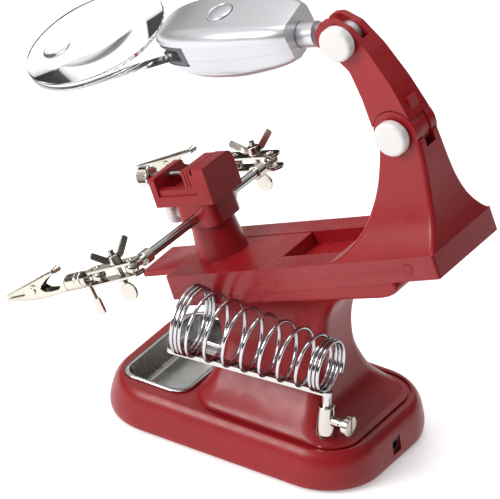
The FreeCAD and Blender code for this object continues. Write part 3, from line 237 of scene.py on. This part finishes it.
SIDES = ("front", "rear")
NODE_MATERIALS = {
    "red": ["base_shell", "pedestal_front_half", "pedestal_rear_half", "lower_arm", "upper_arm",
            "post", "post_head", "vise_frame", "vise_jaw", "screw_plugs", "carriage",
            "deck_bottom_plate"],
    "red_deck": ["deck_shell"],
    "silver": ["lamp_stalk", "lamp_bottom_shell", "lamp_top_shell", "lamp_button"],
    "white": ["elbow_knob", "lamp_tilt_knob", "lock_knob"],
    "black": ["base_bottom_plate", "battery_door", "dc_jack"],
    "rubber": ["rubber_feet"],
    "cell": ["batteries"],
    "steel": ["base_screws", "elbow_nut", "lamp_tilt_nut", "front_clip_spring",
              "rear_clip_spring"],
    "tray": ["tray"],
    "rod": ["cross_rod"],
    "chrome": ["vise_screw", "holder_thumb_screw", "holder_socket"]
              + [side + "_" + part for side in SIDES
                 for part in ("rod_ball", "joint_plates", "joint_bolt", "wing_nut", "clip_stud",
                              "thumb_screw")],
    "clip": [side + "_" + part for side in SIDES
             for part in ("lower_jaw", "upper_jaw", "clip_rivet")],
    "holder": ["holder_bar"],
    "coil": ["coil_spring"],
    "lens": ["magnifier_lens"],
    "window": ["lamp_window"],
    "grip": ["lens_grip"],
    "board": ["led_board"],
}
for word, names in NODE_MATERIALS.items():
    for node in names:
        mesh = frame["nodes"][node].data
        mesh.materials.clear()
        mesh.materials.append(MATERIALS[word])


# ------------------------------------------------------------------ mesh building blocks
MERGE_DISTANCE = 1e-6              # metres


def piece(name, mesh_parts, matrix, word, body, replaces=(), sharp=35.0):
    """Joins (vertices, faces) parts in millimetres into one piece that rides on a body."""
    vertices, faces = [], []
    for part_vertices, part_faces in mesh_parts:
        start = len(vertices)
        vertices += [Vector(v) * MM for v in part_vertices]
        faces += [tuple(start + index for index in face) for face in part_faces]
    mesh = bpy.data.meshes.new(name)
    mesh.from_pydata(vertices, [], faces)
    mesh.transform(matrix)
    work = bmesh.new()
    work.from_mesh(mesh)
    bmesh.ops.remove_doubles(work, verts=work.verts, dist=MERGE_DISTANCE)
    bmesh.ops.recalc_face_normals(work, faces=work.faces)
    work.to_mesh(mesh)
    work.free()
    return adopt(name, mesh, word, body, replaces, sharp)


def adopt(name, mesh, word, body, replaces=(), sharp=35.0):
    """Makes a mesh a piece of one material; edges over sharp degrees are shaded hard."""
    mesh.materials.clear()
    mesh.materials.append(MATERIALS[word])
    mesh.polygons.foreach_set("use_smooth", [True] * len(mesh.polygons))
    mesh.set_sharp_from_angle(angle=math.radians(sharp))
    thing = bpy.data.objects.new(name, mesh)
    SCENE.objects.link(thing)
    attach(thing, body)
    if replaces:
        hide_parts(*replaces)
    return thing


def along(part, matrix):
    """A part in millimetres, moved by a matrix whose translation is in metres."""
    vertices, faces = part
    local = matrix.copy()
    local.translation = local.translation / MM
    return [local @ Vector(v) for v in vertices], faces


def lathe(profile, segments=64, ripple=None):
    """Turns (radius, height) points about the axis; ripple(angle, radius, height) changes the
    radius from one angle to the next."""
    vertices, faces = [], []
    for radius, height in profile:
        for step in range(segments):
            angle = 2 * math.pi * step / segments
            reach = ripple(angle, radius, height) if ripple else radius
            vertices.append((reach * math.cos(angle), reach * math.sin(angle), height))
    for row in range(len(profile) - 1):
        for step in range(segments):
            a = row * segments + step
            b = row * segments + (step + 1) % segments
            faces.append((a, b, b + segments, a + segments))
    return vertices, faces


ROUND_SHARE = 0.48                 # the most of a profile's side that one rounding may use


def rounded(profile, segments=4):
    """Corners given as (radius, height, round) become short arcs; the ends stay as they are."""
    result = []
    for index, (x, y, bend) in enumerate(profile):
        here = Vector((x, y))
        if bend <= 0 or index in (0, len(profile) - 1):
            result.append((x, y))
            continue
        before = Vector(profile[index - 1][:2]) - here
        after = Vector(profile[index + 1][:2]) - here
        reach = min(bend, before.length * ROUND_SHARE, after.length * ROUND_SHARE)
        start, stop = here + before.normalized() * reach, here + after.normalized() * reach
        for step in range(segments + 1):
            t = step / segments
            point = start * (1 - t) ** 2 + here * 2 * t * (1 - t) + stop * t ** 2
            result.append((point.x, point.y))
    return result


def sweep(points, radius, sides=14):
    """A round tube of one radius along points, closed by flat ends."""
    points = [Vector(p) for p in points]
    count = len(points)
    vertices, faces = [], []
    normal = None
    for index, point in enumerate(points):
        before = points[index - 1] if index else point
        after = points[index + 1] if index < count - 1 else point
        direction = (after - before).normalized()
        if normal is None:
            steep = abs(direction.z) >= 0.9
            helper = Vector((1, 0, 0)) if steep else Vector((0, 0, 1))
            normal = direction.cross(helper).normalized()
        normal = (normal - direction * normal.dot(direction)).normalized()
        side = direction.cross(normal)
        for step in range(sides):
            angle = 2 * math.pi * step / sides
            vertices.append(point + (normal * math.cos(angle) + side * math.sin(angle)) * radius)
    for row in range(count - 1):
        for step in range(sides):
            a = row * sides + step
            b = row * sides + (step + 1) % sides
            faces.append((a, b, b + sides, a + sides))
    faces.append(tuple(reversed(range(sides))))
    faces.append(tuple(range((count - 1) * sides, count * sides)))
    return vertices, faces


def round_outline(corners, segments=5):
    """A closed outline of (x, y, radius) corners with arcs."""
    points = []
    count = len(corners)
    for index, (x, y, radius) in enumerate(corners):
        here = Vector((x, y))
        before = Vector(corners[index - 1][:2]) - here
        after = Vector(corners[(index + 1) % count][:2]) - here
        if radius <= 0:
            points.append((x, y))
            continue
        half = before.angle(after) / 2
        reach = radius / math.tan(half)
        inward = (before.normalized() + after.normalized()).normalized()
        centre = here + inward * (radius / math.sin(half))
        start = here + before.normalized() * reach - centre
        stop = here + after.normalized() * reach - centre
        turn = start.angle_signed(stop)
        for step in range(segments + 1):
            arm = start.copy()
            arm.rotate(Matrix.Rotation(-turn * step / segments, 2))
            points.append(tuple(centre + arm))
    return points


NODE_MERGE, FLAT_ANGLE, EDGE_ANGLE = 2e-6, 1.0, 32.0      # metres and degrees


def softened(node, word, body, width):
    """A copy of a CAD node with its hard edges rounded, which then stands for it."""
    mesh = frame["nodes"][node].data.copy()
    work = bmesh.new()
    work.from_mesh(mesh)
    bmesh.ops.remove_doubles(work, verts=work.verts, dist=NODE_MERGE)
    bmesh.ops.dissolve_limit(work, angle_limit=math.radians(FLAT_ANGLE), verts=work.verts,
                             edges=work.edges)
    work.to_mesh(mesh)
    work.free()
    thing = adopt(node + "_rounded", mesh, word, body, (node,), sharp=EDGE_ANGLE)
    rounding = bevelled(thing, width)
    rounding.angle_limit = math.radians(EDGE_ANGLE)
    rounding.use_clamp_overlap = True


def bevelled(thing, width):
    rounding = thing.modifiers.new("rounding", "BEVEL")
    rounding.width = width * MM
    rounding.segments = 3
    rounding.limit_method = "ANGLE"
    rounding.harden_normals = True
    return rounding


# ------------------------------------------------------------------ iron holder
WIRE_RADIUS = 1.15
BAR_TOP = 1.5                      # above the middle of the bar
COIL_MOUTH, COIL_TAIL = 92.5, -2.0                       # along the bar from its knuckle
MOUTH_RADIUS, TAIL_RADIUS = 22.0, 16.4
RING_TURN, RING_TIP = -14.0, 8.0                         # degrees off square to the bar
CLOSE_STEP, OPEN_STEP, STEPS_PER_TURN = 2.5, 11.55, 56
MOUTH_TURNS, OPEN_TURNS, TAIL_TURNS = 3.0, 6.87, 3.0
EASE_START, EASE_LENGTH = 0.3, 0.6                       # turns over which the pitch changes


def coil():
    """A conical coil standing on the bar: close turns at both ends, open turns between."""
    lean = (turn_about("Z", RING_TURN) @ turn_about("Y", RING_TIP)).to_3x3()
    x, points = COIL_MOUTH, []
    total = int((MOUTH_TURNS + OPEN_TURNS + TAIL_TURNS) * STEPS_PER_TURN)
    for step in range(total + 1):
        turn = step / STEPS_PER_TURN
        ease = min(1, max(0, (turn - MOUTH_TURNS + EASE_START) / EASE_LENGTH))
        ease *= min(1, max(0, (MOUTH_TURNS + OPEN_TURNS + EASE_START - turn) / EASE_LENGTH))
        ease = ease * ease * (3 - 2 * ease)
        share = (COIL_MOUTH - x) / (COIL_MOUTH - COIL_TAIL)
        radius = MOUTH_RADIUS + (TAIL_RADIUS - MOUTH_RADIUS) * min(1, share)
        angle = 2 * math.pi * turn - math.pi / 2
        ring = Vector((0, radius * math.cos(angle), radius + radius * math.sin(angle)))
        points.append(Vector((x, 0, BAR_TOP + WIRE_RADIUS)) + lean @ ring)
        x -= (CLOSE_STEP + (OPEN_STEP - CLOSE_STEP) * ease) / STEPS_PER_TURN
        x = max(x, COIL_TAIL)
    piece("iron_coil", [sweep(points, WIRE_RADIUS)], HOLDER, "coil", "holder", ("coil_spring",), 50)


# ------------------------------------------------------------------ knobs and screws
def knurl(count, depth, hub=3.5):
    """Grooves round everything outside the hub's radius."""
    def shape(angle, radius, height):
        wave = abs(((angle * count / (2 * math.pi)) % 1.0) - 0.5) * 2
        return radius - depth * wave if radius > hub else radius
    return shape


KNOB_RADIUS, KNOB_THICK, KNOB_FLATS = 11.5, 8.0, 14
FLATS_INNER, FLATS_SHARE = 9.5, 0.45
ARM_BOLT_RADIUS = 2.48


def knob_flats(angle, radius, height):
    """Pulls the rim part of the way towards a polygon, and leaves the dish round."""
    side = 2 * math.pi / KNOB_FLATS
    offset = (angle % side) - side / 2
    flat = radius * math.cos(side / 2) / math.cos(offset)
    return flat * FLATS_SHARE + radius * (1 - FLATS_SHARE) if radius > FLATS_INNER else radius


def arm_knobs():
    """Round white knobs with a shallow dish and broad shallow flats round the rim."""
    rim, thick = KNOB_RADIUS, KNOB_THICK
    dish = [(0, 0.02, 0), (6.2, 0.02, 0.2), (6.2, 0.8, 0.3), (rim - 0.7, 0.8, 0.5),
            (rim, 2.2, 0.9), (rim - 0.15, thick - 1.2, 0.8), (rim - 1.5, thick, 0.9),
            (8.6, thick + 0.1, 0.6), (4.0, thick + 0.22, 2), (0, thick + 0.25, 0)]
    for node, x, z, face, bolt_end in (
            ("elbow_knob", ELBOW_PIVOT_X, ELBOW_PIVOT_Z, -12.3, 12.6),
            ("lamp_tilt_knob", LAMP_PIVOT_X, LAMP_PIVOT_Z, -9.8, 11.7)):
        matrix = DECK @ place(x, face, z, turn_about("X", 90))
        cap = lathe(rounded(dish), 112, knob_flats)
        piece(node + "_cap", [cap], matrix, "white", node, (node,), 28)
        length = bolt_end - face
        bolt = lathe(rounded([(0, 0, 0), (ARM_BOLT_RADIUS, 0, 0.1),
                              (ARM_BOLT_RADIUS, length - 0.3, 0.3), (0, length - 0.1, 0)]), 32)
        piece(node + "_bolt", [bolt], matrix @ turn_about("X", 180), "steel", node)


VISE_SCREW_X, VISE_SCREW_Z, LOCK_KNOB_X = -36.0, 53.6, -16.4
THREAD_RADIUS, THREAD_WIRE, THREAD_START = 1.86, 0.16, -27
THREAD_STEPS, STEP_ANGLE, STEP_RISE = 1180, 0.2, 0.022


def vise_screw():
    """A knurled head, a plain shank and a fine thread wound on it."""
    matrix = HEAD @ place(VISE_SCREW_X, 0, VISE_SCREW_Z, turn_about("Y", -90))
    grip = lathe(rounded([(0, 0.6, 0), (5.0, 0.6, 0.4), (5.6, 0.0, 0.3), (6.5, 0.7, 0.5),
                          (6.6, 1.4, 0.2), (6.6, 7.6, 0.2), (6.4, 8.4, 0.4), (5.4, 9.0, 0.4),
                          (0, 9.0, 0)]), 168, knurl(42, 0.42))
    shank = lathe(rounded([(0, -40.6, 0), (1.6, -40.6, 0), (2.0, -40.0, 0.2), (2.0, 0.1, 0),
                           (0, 0.1, 0)]), 28)
    helix = []
    for step in range(THREAD_STEPS):
        angle = step * STEP_ANGLE
        helix.append((THREAD_RADIUS * math.cos(angle), THREAD_RADIUS * math.sin(angle),
                      THREAD_START + step * STEP_RISE))
    thread = sweep(helix, THREAD_WIRE, 5)
    piece("vise_screw_turned", [grip, shank, thread], matrix, "chrome", "vise_screw",
          ("vise_screw",), 40)


def lock_knob():
    """A white knob with ribs round its rim, on a metal screw."""
    matrix = HEAD @ place(LOCK_KNOB_X, 0, ROD_Z, turn_about("Y", -90))
    cap = lathe(rounded([(0, 0, 0), (4.4, 0, 0.4), (4.6, 0.6, 0.3), (4.6, 6.4, 0.5),
                         (7.0, 7.4, 0.8), (7.8, 8.4, 0.8), (7.8, 12.6, 1.0), (6.2, 13.5, 1.2),
                         (0, 13.6, 0)]), 120, knurl(20, 0.34))
    shank = lathe(rounded([(0, -13.4, 0), (2.0, -13.4, 0.4), (2.0, 0.1, 0), (0, 0.1, 0)]), 28)
    piece("lock_knob_cap", [cap], matrix, "white", "lock_knob", ("lock_knob",), 32)
    piece("lock_knob_screw", [shank], matrix, "chrome", "lock_knob", (), 32)


coil()
arm_knobs()
vise_screw()
lock_knob()


# ------------------------------------------------------------------ lamp and magnifier
LENS_X, LENS_Z, LENS_RADIUS, LENS_EDGE, LENS_DOME = -19.0, 142.0, 47.0, 6.0, 4.5
TAB_LOW, TAB_HIGH, TAB_START_X = 139.1, 144.9, -3.9
GRIP_X, GRIP_HALF, SHOULDER = 56.8, 19.5, 44.4
JOIN_GAP = 0.05                    # between the lens's rim and its tab
INSERT_X, INSERT_Y, INSERT_TIP = -45.0, -6, 6.5
BUTTON_X, BUTTON_Z, BUTTON_RADIUS = 84.4, 152.6, 8.6


def magnifier():
    """A thick double-convex lens with a polished rim, its tab, and a small stronger lens below."""
    steps, edge = 26, LENS_RADIUS - 0.7
    top = []
    for step in range(steps + 1):
        share = math.sin(math.pi / 2 * step / steps)
        top.append((edge * share, LENS_EDGE / 2 + LENS_DOME * (1 - share ** 2)))
    profile = [(0, top[0][1])] + top[1:] + [(LENS_RADIUS - 0.2, LENS_EDGE / 2 - 0.25),
                                            (LENS_RADIUS, LENS_EDGE / 2 - 0.8)]
    profile += [(radius, -height) for radius, height in reversed(profile)]
    piece("magnifier_disc", [lathe(profile, 144)], LAMP @ place(LENS_X, 0, LENS_Z), "lens", "lamp",
          ("magnifier_lens",), 24)
    lens_tab()
    insert = [(0, -2.2), (3.0, -2.05), (6.0, -1.6), (8.4, -0.8), (9.4, -0.25), (9.5, 0.0), (0, 0.0)]
    under = LENS_Z - LENS_EDGE / 2 - 3.05
    piece("strong_lens", [lathe(insert, 64)],
          LAMP @ place(INSERT_X, INSERT_Y, under, turn_about("Y", INSERT_TIP)), "lens", "lamp", (),
          40)


def lens_tab():
    """The clear tab that joins the lens to the grip, in rows from one shoulder to the other."""
    half = [SHOULDER, 43.6, 42.4, 40.5, 38, 34.5, 30, 25, GRIP_HALF, 14, 7]
    vertices, faces = [], []
    for y in half + [0] + [-value for value in reversed(half)]:
        rim = LENS_X + math.sqrt((LENS_RADIUS + JOIN_GAP) ** 2 - y * y)
        share = max(0, abs(y) - GRIP_HALF) / (SHOULDER - GRIP_HALF)
        side = GRIP_X - (GRIP_X - TAB_START_X) * share
        vertices += [(x, y, z) for x in (rim, max(side, rim + 0.02)) for z in (TAB_LOW, TAB_HIGH)]
    rows = len(vertices) // 4
    for row in range(rows - 1):
        a, b = row * 4, row * 4 + 4
        faces += [(a + p, a + q, b + q, b + p) for p, q in ((0, 1), (1, 3), (3, 2), (2, 0))]
    faces += [(0, 2, 3, 1), tuple((rows - 1) * 4 + p for p in (0, 1, 3, 2))]
    tab = piece("magnifier_tab", [(vertices, faces)], LAMP, "lens", "lamp", (), 30)
    bevelled(tab, 0.8)


def push_button():
    """The lamp's button, dished inside a raised ring."""
    rim = BUTTON_RADIUS
    cap = lathe(rounded([(0, 0, 0), (rim - 2, 0, 0), (rim - 2, 2.5, 0), (rim - 0.1, 2.5, 0),
                         (rim - 0.1, 6.0, 0.9), (rim - 1.1, 6.7, 0.5), (rim - 1.5, 6.2, 0.3),
                         (5.4, 6.75, 1.5), (0, 7.2, 0)]), 72)
    piece("lamp_push_button", [cap], LAMP @ place(BUTTON_X, 0, BUTTON_Z), "silver", "lamp_button",
          ("lamp_button",), 26)


# ------------------------------------------------------------------ tray
TRAY_X, TRAY_HALF_X, TRAY_HALF_Y, TRAY_DEPTH, BASE_TOP = -58.5, 24.5, 46.0, 18.0, 27.0
TRAY_WALL, RIM_RISE = 1.0, 1.6


def tray_loop(inset, height, corner, segments=9):
    """The tray's outline at a height, drawn in by inset, with corners of one radius."""
    half_x, half_y = TRAY_HALF_X - inset, TRAY_HALF_Y - inset
    corners = [(-half_x, -half_y, corner), (half_x, -half_y, corner), (half_x, half_y, corner),
               (-half_x, half_y, corner)]
    return [(TRAY_X + x, y, height) for x, y in round_outline(corners, segments)]


def tray():
    """Pressed pan with a rolled bright rim: the loops run from the middle of its floor up the
    inside, over the rim and back underneath."""
    top = BASE_TOP + RIM_RISE
    low = BASE_TOP + 0.1 - TRAY_DEPTH + TRAY_WALL
    loops = [(12.0, low, 3.0), (8.6, low, 5.0), (7.2, low + 0.35, 6.0), (6.3, low + 1.3, 7.0),
             (5.9, low + 2.6, 7.6), (3.4, top - 1.6, 9.2), (3.1, top - 0.5, 9.4),
             (2.5, top + 0.02, 9.8), (1.5, top + 0.1, 10.2), (0.6, top - 0.1, 10.6),
             (0.1, top - 0.6, 10.9), (0.05, top - 1.1, 11.0), (0.5, top - 1.45, 10.8),
             (1.9, top - 1.5, 9.8), (2.3, top - 2.2, 9.0), (5.0, low + 1.4, 7.4),
             (6.6, low - 0.8, 6.0), (12.0, low - 0.95, 3.0)]
    vertices, faces = [], []
    for inset, height, corner in loops:
        vertices += tray_loop(inset, height, corner)
    count = len(vertices) // len(loops)
    for row in range(len(loops) - 1):
        for step in range(count):
            a, b = row * count + step, row * count + (step + 1) % count
            faces.append((a, b, b + count, a + count))
    faces.append(tuple(range(count)))
    faces.append(tuple(range((len(loops) - 1) * count, len(loops) * count)))
    piece("pressed_tray", [(vertices, faces)], Matrix(), "tray", "base", ("tray",), 40)


# ------------------------------------------------------------------ clips
# A clip lies along -X from the end of the rod, its tip at TIP_X.
SLEEVE_X, TIP_X, TAIL_X, LEVER_X = -42.0, -110, -56, -63
SHEET = 0.43                       # thickness of the folded sheet


def between(table, x):
    """A value at x from (x, value) pairs, on straight lines between them."""
    for (x0, v0), (x1, v1) in zip(table, table[1:]):
        if x0 <= x <= x1:
            share = (x - x0) / (x1 - x0)
            return v0 + (v1 - v0) * share
    return table[0][1] if x < table[0][0] else table[-1][1]


BEND_SHARE, BEND_STEPS = 0.55, 5


def channel(x_low, x_high, half, closed_z, open_z, wall, step, open_down=False):
    """A folded sheet channel along X: a back at closed_z(x) and two sides that end at open_z(x).

    Each row goes once round the sheet: along the outside of one side, the back and the other
    side, then back along the inside.
    """
    sign = -1 if open_down else 1
    count = int(round((x_high - x_low) / step)) + 1
    vertices, faces = [], []
    for index in range(count):
        x = x_low + (x_high - x_low) * index / (count - 1)
        width, back, edge = half(x), closed_z(x), open_z(x)
        bend = min(width * BEND_SHARE, abs(edge - back) * 0.5)
        arc = []
        for turn in range(BEND_STEPS):
            angle = math.pi / 2 * turn / (BEND_STEPS - 1)
            arc.append((width - bend * (1 - math.sin(angle)),
                        back + sign * bend * (1 - math.cos(angle))))
        outer = [(-width, edge)] + [(-y, z) for y, z in reversed(arc)] + arc + [(width, edge)]
        inner_arc = [(y - wall * (0.7 + 0.3 * y / width),
                      z + sign * wall * (1 - 0.35 * turn / (BEND_STEPS - 1)))
                     for turn, (y, z) in enumerate(arc)]
        inner = ([(width - wall, edge)] + list(reversed(inner_arc))
                 + [(-y, z) for y, z in inner_arc] + [(-width + wall, edge)])
        vertices += [(x, y, z) for y, z in outer + inner]
    ring = len(vertices) // count
    for row in range(count - 1):
        for step_index in range(ring):
            a = row * ring + step_index
            b = row * ring + (step_index + 1) % ring
            faces.append((a, b, b + ring, a + ring))
    half_ring = ring // 2
    for row in (0, count - 1):
        start = row * ring
        for step_index in range(half_ring - 1):
            faces.append((start + step_index, start + step_index + 1,
                          start + ring - 2 - step_index, start + ring - 1 - step_index))
    return vertices, faces


def teeth(x, start, stop, pitch=1.7, depth=0.75):
    """How far the edge is cut away at x by the teeth between start and stop."""
    if not start <= x <= stop:
        return 0.0
    wave = ((x - start) / pitch) % 1.0
    return depth * abs(wave - 0.5) * 2


LOWER_HALF = [(-110, 1.7), (-92, 3.7), (-80, 4.2), (-54, 4.2)]
LOWER_EDGE = [(-110, -0.15), (-92, -0.15), (-89, 2.6), (-86.5, 4.6), (-84, 5.1), (-81.5, 4.4),
              (-78, 2.2), (-74, -1.0), (-68, -1.7), (-62, -1.6), (-58, 1.6), (-56, 2.8)]
LOWER_BACK = [(-110, -1.7), (-105, -2.6), (-100, -3.3), (-92, -4.6), (-84, -5.3), (-72, -5.2),
              (-62, -4.8), (-56, -4.6)]
UPPER_HALF = [(-110, 1.5), (-92, 2.7), (-80, 3.2), (-72, 3.2), (-63, 2.9)]
UPPER_EDGE = [(-110, 0.15), (-91, 0.15), (-88.5, -1.2), (-86, -2.1), (-82, -2.1), (-79, 0.4),
              (-76, 3.2), (-70, 6.6), (-63, 9.0)]
UPPER_BACK = [(-110, 1.8), (-104, 3.0), (-98, 4.2), (-91, 5.6), (-84, 6.9), (-76, 8.6),
              (-68, 10.0), (-63, 10.3)]
LOWER_TEETH, UPPER_TEETH = (-109, -93), (-108.2, -93)
RIB_START, RIB_STOP, RIB_RADIUS = -80, -61, 0.5
CURL_X, CURL_Z, CURL_TURN, CURL_WIRE, CURL_HALF = -61.7, 10.3, 1.75, 0.55, 2.75
CURL_SIDES = 10


def fixed_jaw(side, matrix):
    """The lower jaw with its teeth, the barrel it is rolled into, and the rib under its back."""
    lower = channel(TIP_X, TAIL_X, lambda x: between(LOWER_HALF, x),
                    lambda x: between(LOWER_BACK, x),
                    lambda x: between(LOWER_EDGE, x) - teeth(x, *LOWER_TEETH), 0.55, SHEET)
    barrel = lathe(rounded([(3.5, 0, 0), (5.0, 0, 0.3), (5.4, 0.5, 0.3), (5.4, 3.0, 0.2),
                            (5.15, 3.4, 0.2), (5.15, 4.2, 0.2), (5.4, 4.6, 0.2), (5.4, 12.4, 0.5),
                            (4.6, 14.2, 1.2), (3.0, 14.4, 0.4), (3.0, 9.7, 0.2), (3.5, 9.5, 0.2),
                            (3.5, 0, 0)]), 56)
    barrel = along(barrel, place(SLEEVE_X, 0, 0, turn_about("Y", -90)))
    rib = sweep([(x, 0, between(LOWER_BACK, x) + 0.12) for x in range(RIB_START, RIB_STOP, 2)],
                RIB_RADIUS, 10)
    piece(side + "_jaw_fixed", [lower, barrel, rib], matrix, "clip", side + "_clip",
          (side + "_lower_jaw",), 38)


def moving_jaw(side, matrix):
    """The upper jaw with its teeth, and the curled end of its lever."""
    upper = channel(TIP_X, LEVER_X, lambda x: between(UPPER_HALF, x),
                    lambda x: between(UPPER_BACK, x),
                    lambda x: between(UPPER_EDGE, x) + teeth(x, *UPPER_TEETH), 0.5, SHEET,
                    open_down=True)
    turns = [math.radians(205 - 17 * step) for step in range(17)]
    tube, faces = sweep([(CURL_X + CURL_TURN * math.cos(a), 0, CURL_Z + CURL_TURN * math.sin(a))
                         for a in turns], CURL_WIRE, CURL_SIDES)
    # half of the tube's sides go to each side of the lever, which makes a rolled strip of it
    strip = []
    for index, (x, y, z) in enumerate(tube):
        hand = 1 if index % CURL_SIDES < CURL_SIDES // 2 else -1
        strip.append((x, CURL_HALF * hand + y, z))
    piece(side + "_jaw_moving", [upper, (strip, faces)], matrix, "clip", side + "_upper_jaw",
          (side + "_upper_jaw",), 38)


magnifier()
push_button()
tray()
for side, matrix in zip(SIDES, (FRONT, REAR)):
    fixed_jaw(side, matrix)
    moving_jaw(side, matrix)

# CAD nodes whose shape stays and whose edges are rounded: width of the rounding, then the nodes
ROUNDED = {
    0.5: [("deck_shell", "red_deck", "base"), ("vise_frame", "red", "head"),
          ("vise_jaw", "red", "vise_jaw"), ("post_head", "red", "head"),
          ("carriage", "red", "carriage")],
    0.35: [("front_joint_plates", "chrome", "front_link"),
           ("rear_joint_plates", "chrome", "rear_link"),
           ("front_wing_nut", "chrome", "front_wing_nut"),
           ("rear_wing_nut", "chrome", "rear_wing_nut"),
           ("front_thumb_screw", "chrome", "front_thumb_screw"),
           ("rear_thumb_screw", "chrome", "rear_thumb_screw"),
           ("front_joint_bolt", "chrome", "front_link"),
           ("rear_joint_bolt", "chrome", "rear_link"),
           ("holder_bar", "holder", "holder"),
           ("holder_thumb_screw", "chrome", "holder_thumb_screw")],
}
for width, rows in ROUNDED.items():
    for node, word, body in rows:
        softened(node, word, body, width)


# ------------------------------------------------------------------ floor, lights and camera
def floor():
    material, bsdf = shader("floor_paint", (0.90, 0.90, 0.90), 0.6, specular=0.2)
    spread(material, noise(material, 6, 3), 0.5, 0.6, bsdf.inputs["Roughness"])
    bsdf.inputs["Emission Color"].default_value = (1, 1, 1, 1)
    bsdf.inputs["Emission Strength"].default_value = 0.35
    mesh = bpy.data.meshes.new("floor")
    reach = 4.0
    mesh.from_pydata([(-reach, -reach, 0), (reach, -reach, 0), (reach, reach, 0),
                      (-reach, reach, 0)], [], [(0, 1, 2, 3)])
    mesh.materials.append(material)
    thing = bpy.data.objects.new("floor", mesh)
    SCENE.objects.link(thing)


def softbox(name, place_at, aim, side, power):
    """A square area lamp of one side in metres, pointed at aim."""
    lamp = bpy.data.lights.new(name, "AREA")
    lamp.shape = "RECTANGLE"
    lamp.size = lamp.size_y = side
    lamp.energy = power
    thing = bpy.data.objects.new(name, lamp)
    SCENE.objects.link(thing)
    thing.location = place_at
    aimed = (Vector(aim) - Vector(place_at)).to_track_quat("-Z", "Y")
    thing.rotation_euler = aimed.to_euler()


# how bright the surroundings are, from below to above, and from -X to +X
TENT_UP = ((0.0, 0.8), (0.49, 0.5), (0.51, 0.03), (0.62, 0.05), (0.72, 0.85), (0.85, 1.0),
           (0.93, 0.4), (1.0, 0.3))
TENT_ACROSS = ((0.0, 1.0), (0.45, 0.95), (0.8, 0.30), (1.0, 0.2))


def world():
    """A bright tent, dark low on the horizon and dimmer towards the arm, which gives contrast."""
    surroundings = bpy.data.worlds.new("studio")
    surroundings.use_nodes = True
    bpy.context.scene.world = surroundings
    tree = surroundings.node_tree
    nodes, links = tree.nodes, tree.links
    where = nodes.new("ShaderNodeTexCoord")
    split = nodes.new("ShaderNodeSeparateXYZ")
    links.new(where.outputs["Generated"], split.inputs["Vector"])
    levels = []
    for axis, stops in (("Z", TENT_UP), ("X", TENT_ACROSS)):
        ramp = nodes.new("ShaderNodeValToRGB")
        elements = ramp.color_ramp.elements
        while len(elements) < len(stops):
            elements.new(0.5)
        for element, (position, level) in zip(elements, stops):
            element.position = position
            element.color = (level, level, level, 1)
        fit = nodes.new("ShaderNodeMapRange")
        fit.inputs["From Min"].default_value = -1
        links.new(split.outputs[axis], fit.inputs["Value"])
        links.new(fit.outputs["Result"], ramp.inputs["Fac"])
        levels.append(ramp.outputs["Color"])
    product = nodes.new("ShaderNodeVectorMath")
    product.operation = "MULTIPLY"
    links.new(levels[0], product.inputs[0])
    links.new(levels[1], product.inputs[1])
    links.new(product.outputs["Vector"], nodes["Background"].inputs["Color"])
    nodes["Background"].inputs["Strength"].default_value = 1.0


CAMERA_RIGHT, CAMERA_UP = Vector((0.8539, 0.5196, 0.0298)), Vector((-0.2933, 0.4334, 0.8521))
CAMERA_TARGET = Vector((-0.01657, 0.0, 0.11826))
CAMERA_DISTANCE, VIEW_WIDTH, SENSOR, CLIP_END = 5.0, 0.3125, 36.0, 50      # metres; sensor in mm


def camera():
    """A long lens at azimuth 30, elevation 31.5, rolled two degrees, as the object was seen."""
    right = CAMERA_RIGHT.normalized()
    up = (CAMERA_UP - right * CAMERA_UP.dot(right)).normalized()
    back = right.cross(up)
    lens = bpy.data.cameras.new("camera")
    lens.sensor_width = SENSOR
    lens.lens = SENSOR * CAMERA_DISTANCE / VIEW_WIDTH
    lens.clip_end = CLIP_END
    thing = bpy.data.objects.new("camera", lens)
    SCENE.objects.link(thing)
    basis = Matrix((right, up, back)).transposed().to_4x4()
    thing.matrix_world = Matrix.Translation(CAMERA_TARGET + back * CAMERA_DISTANCE) @ basis
    bpy.context.scene.camera = thing


floor()
softbox("key", (-1.0, -1.6, 1.3), (0, 0, 0.12), 1.0, 36)
softbox("top", (-0.2, 0.2, 1.7), (0, 0, 0.1), 1.2, 16)
world()
camera()
bpy.context.scene.view_settings.view_transform = "Standard"
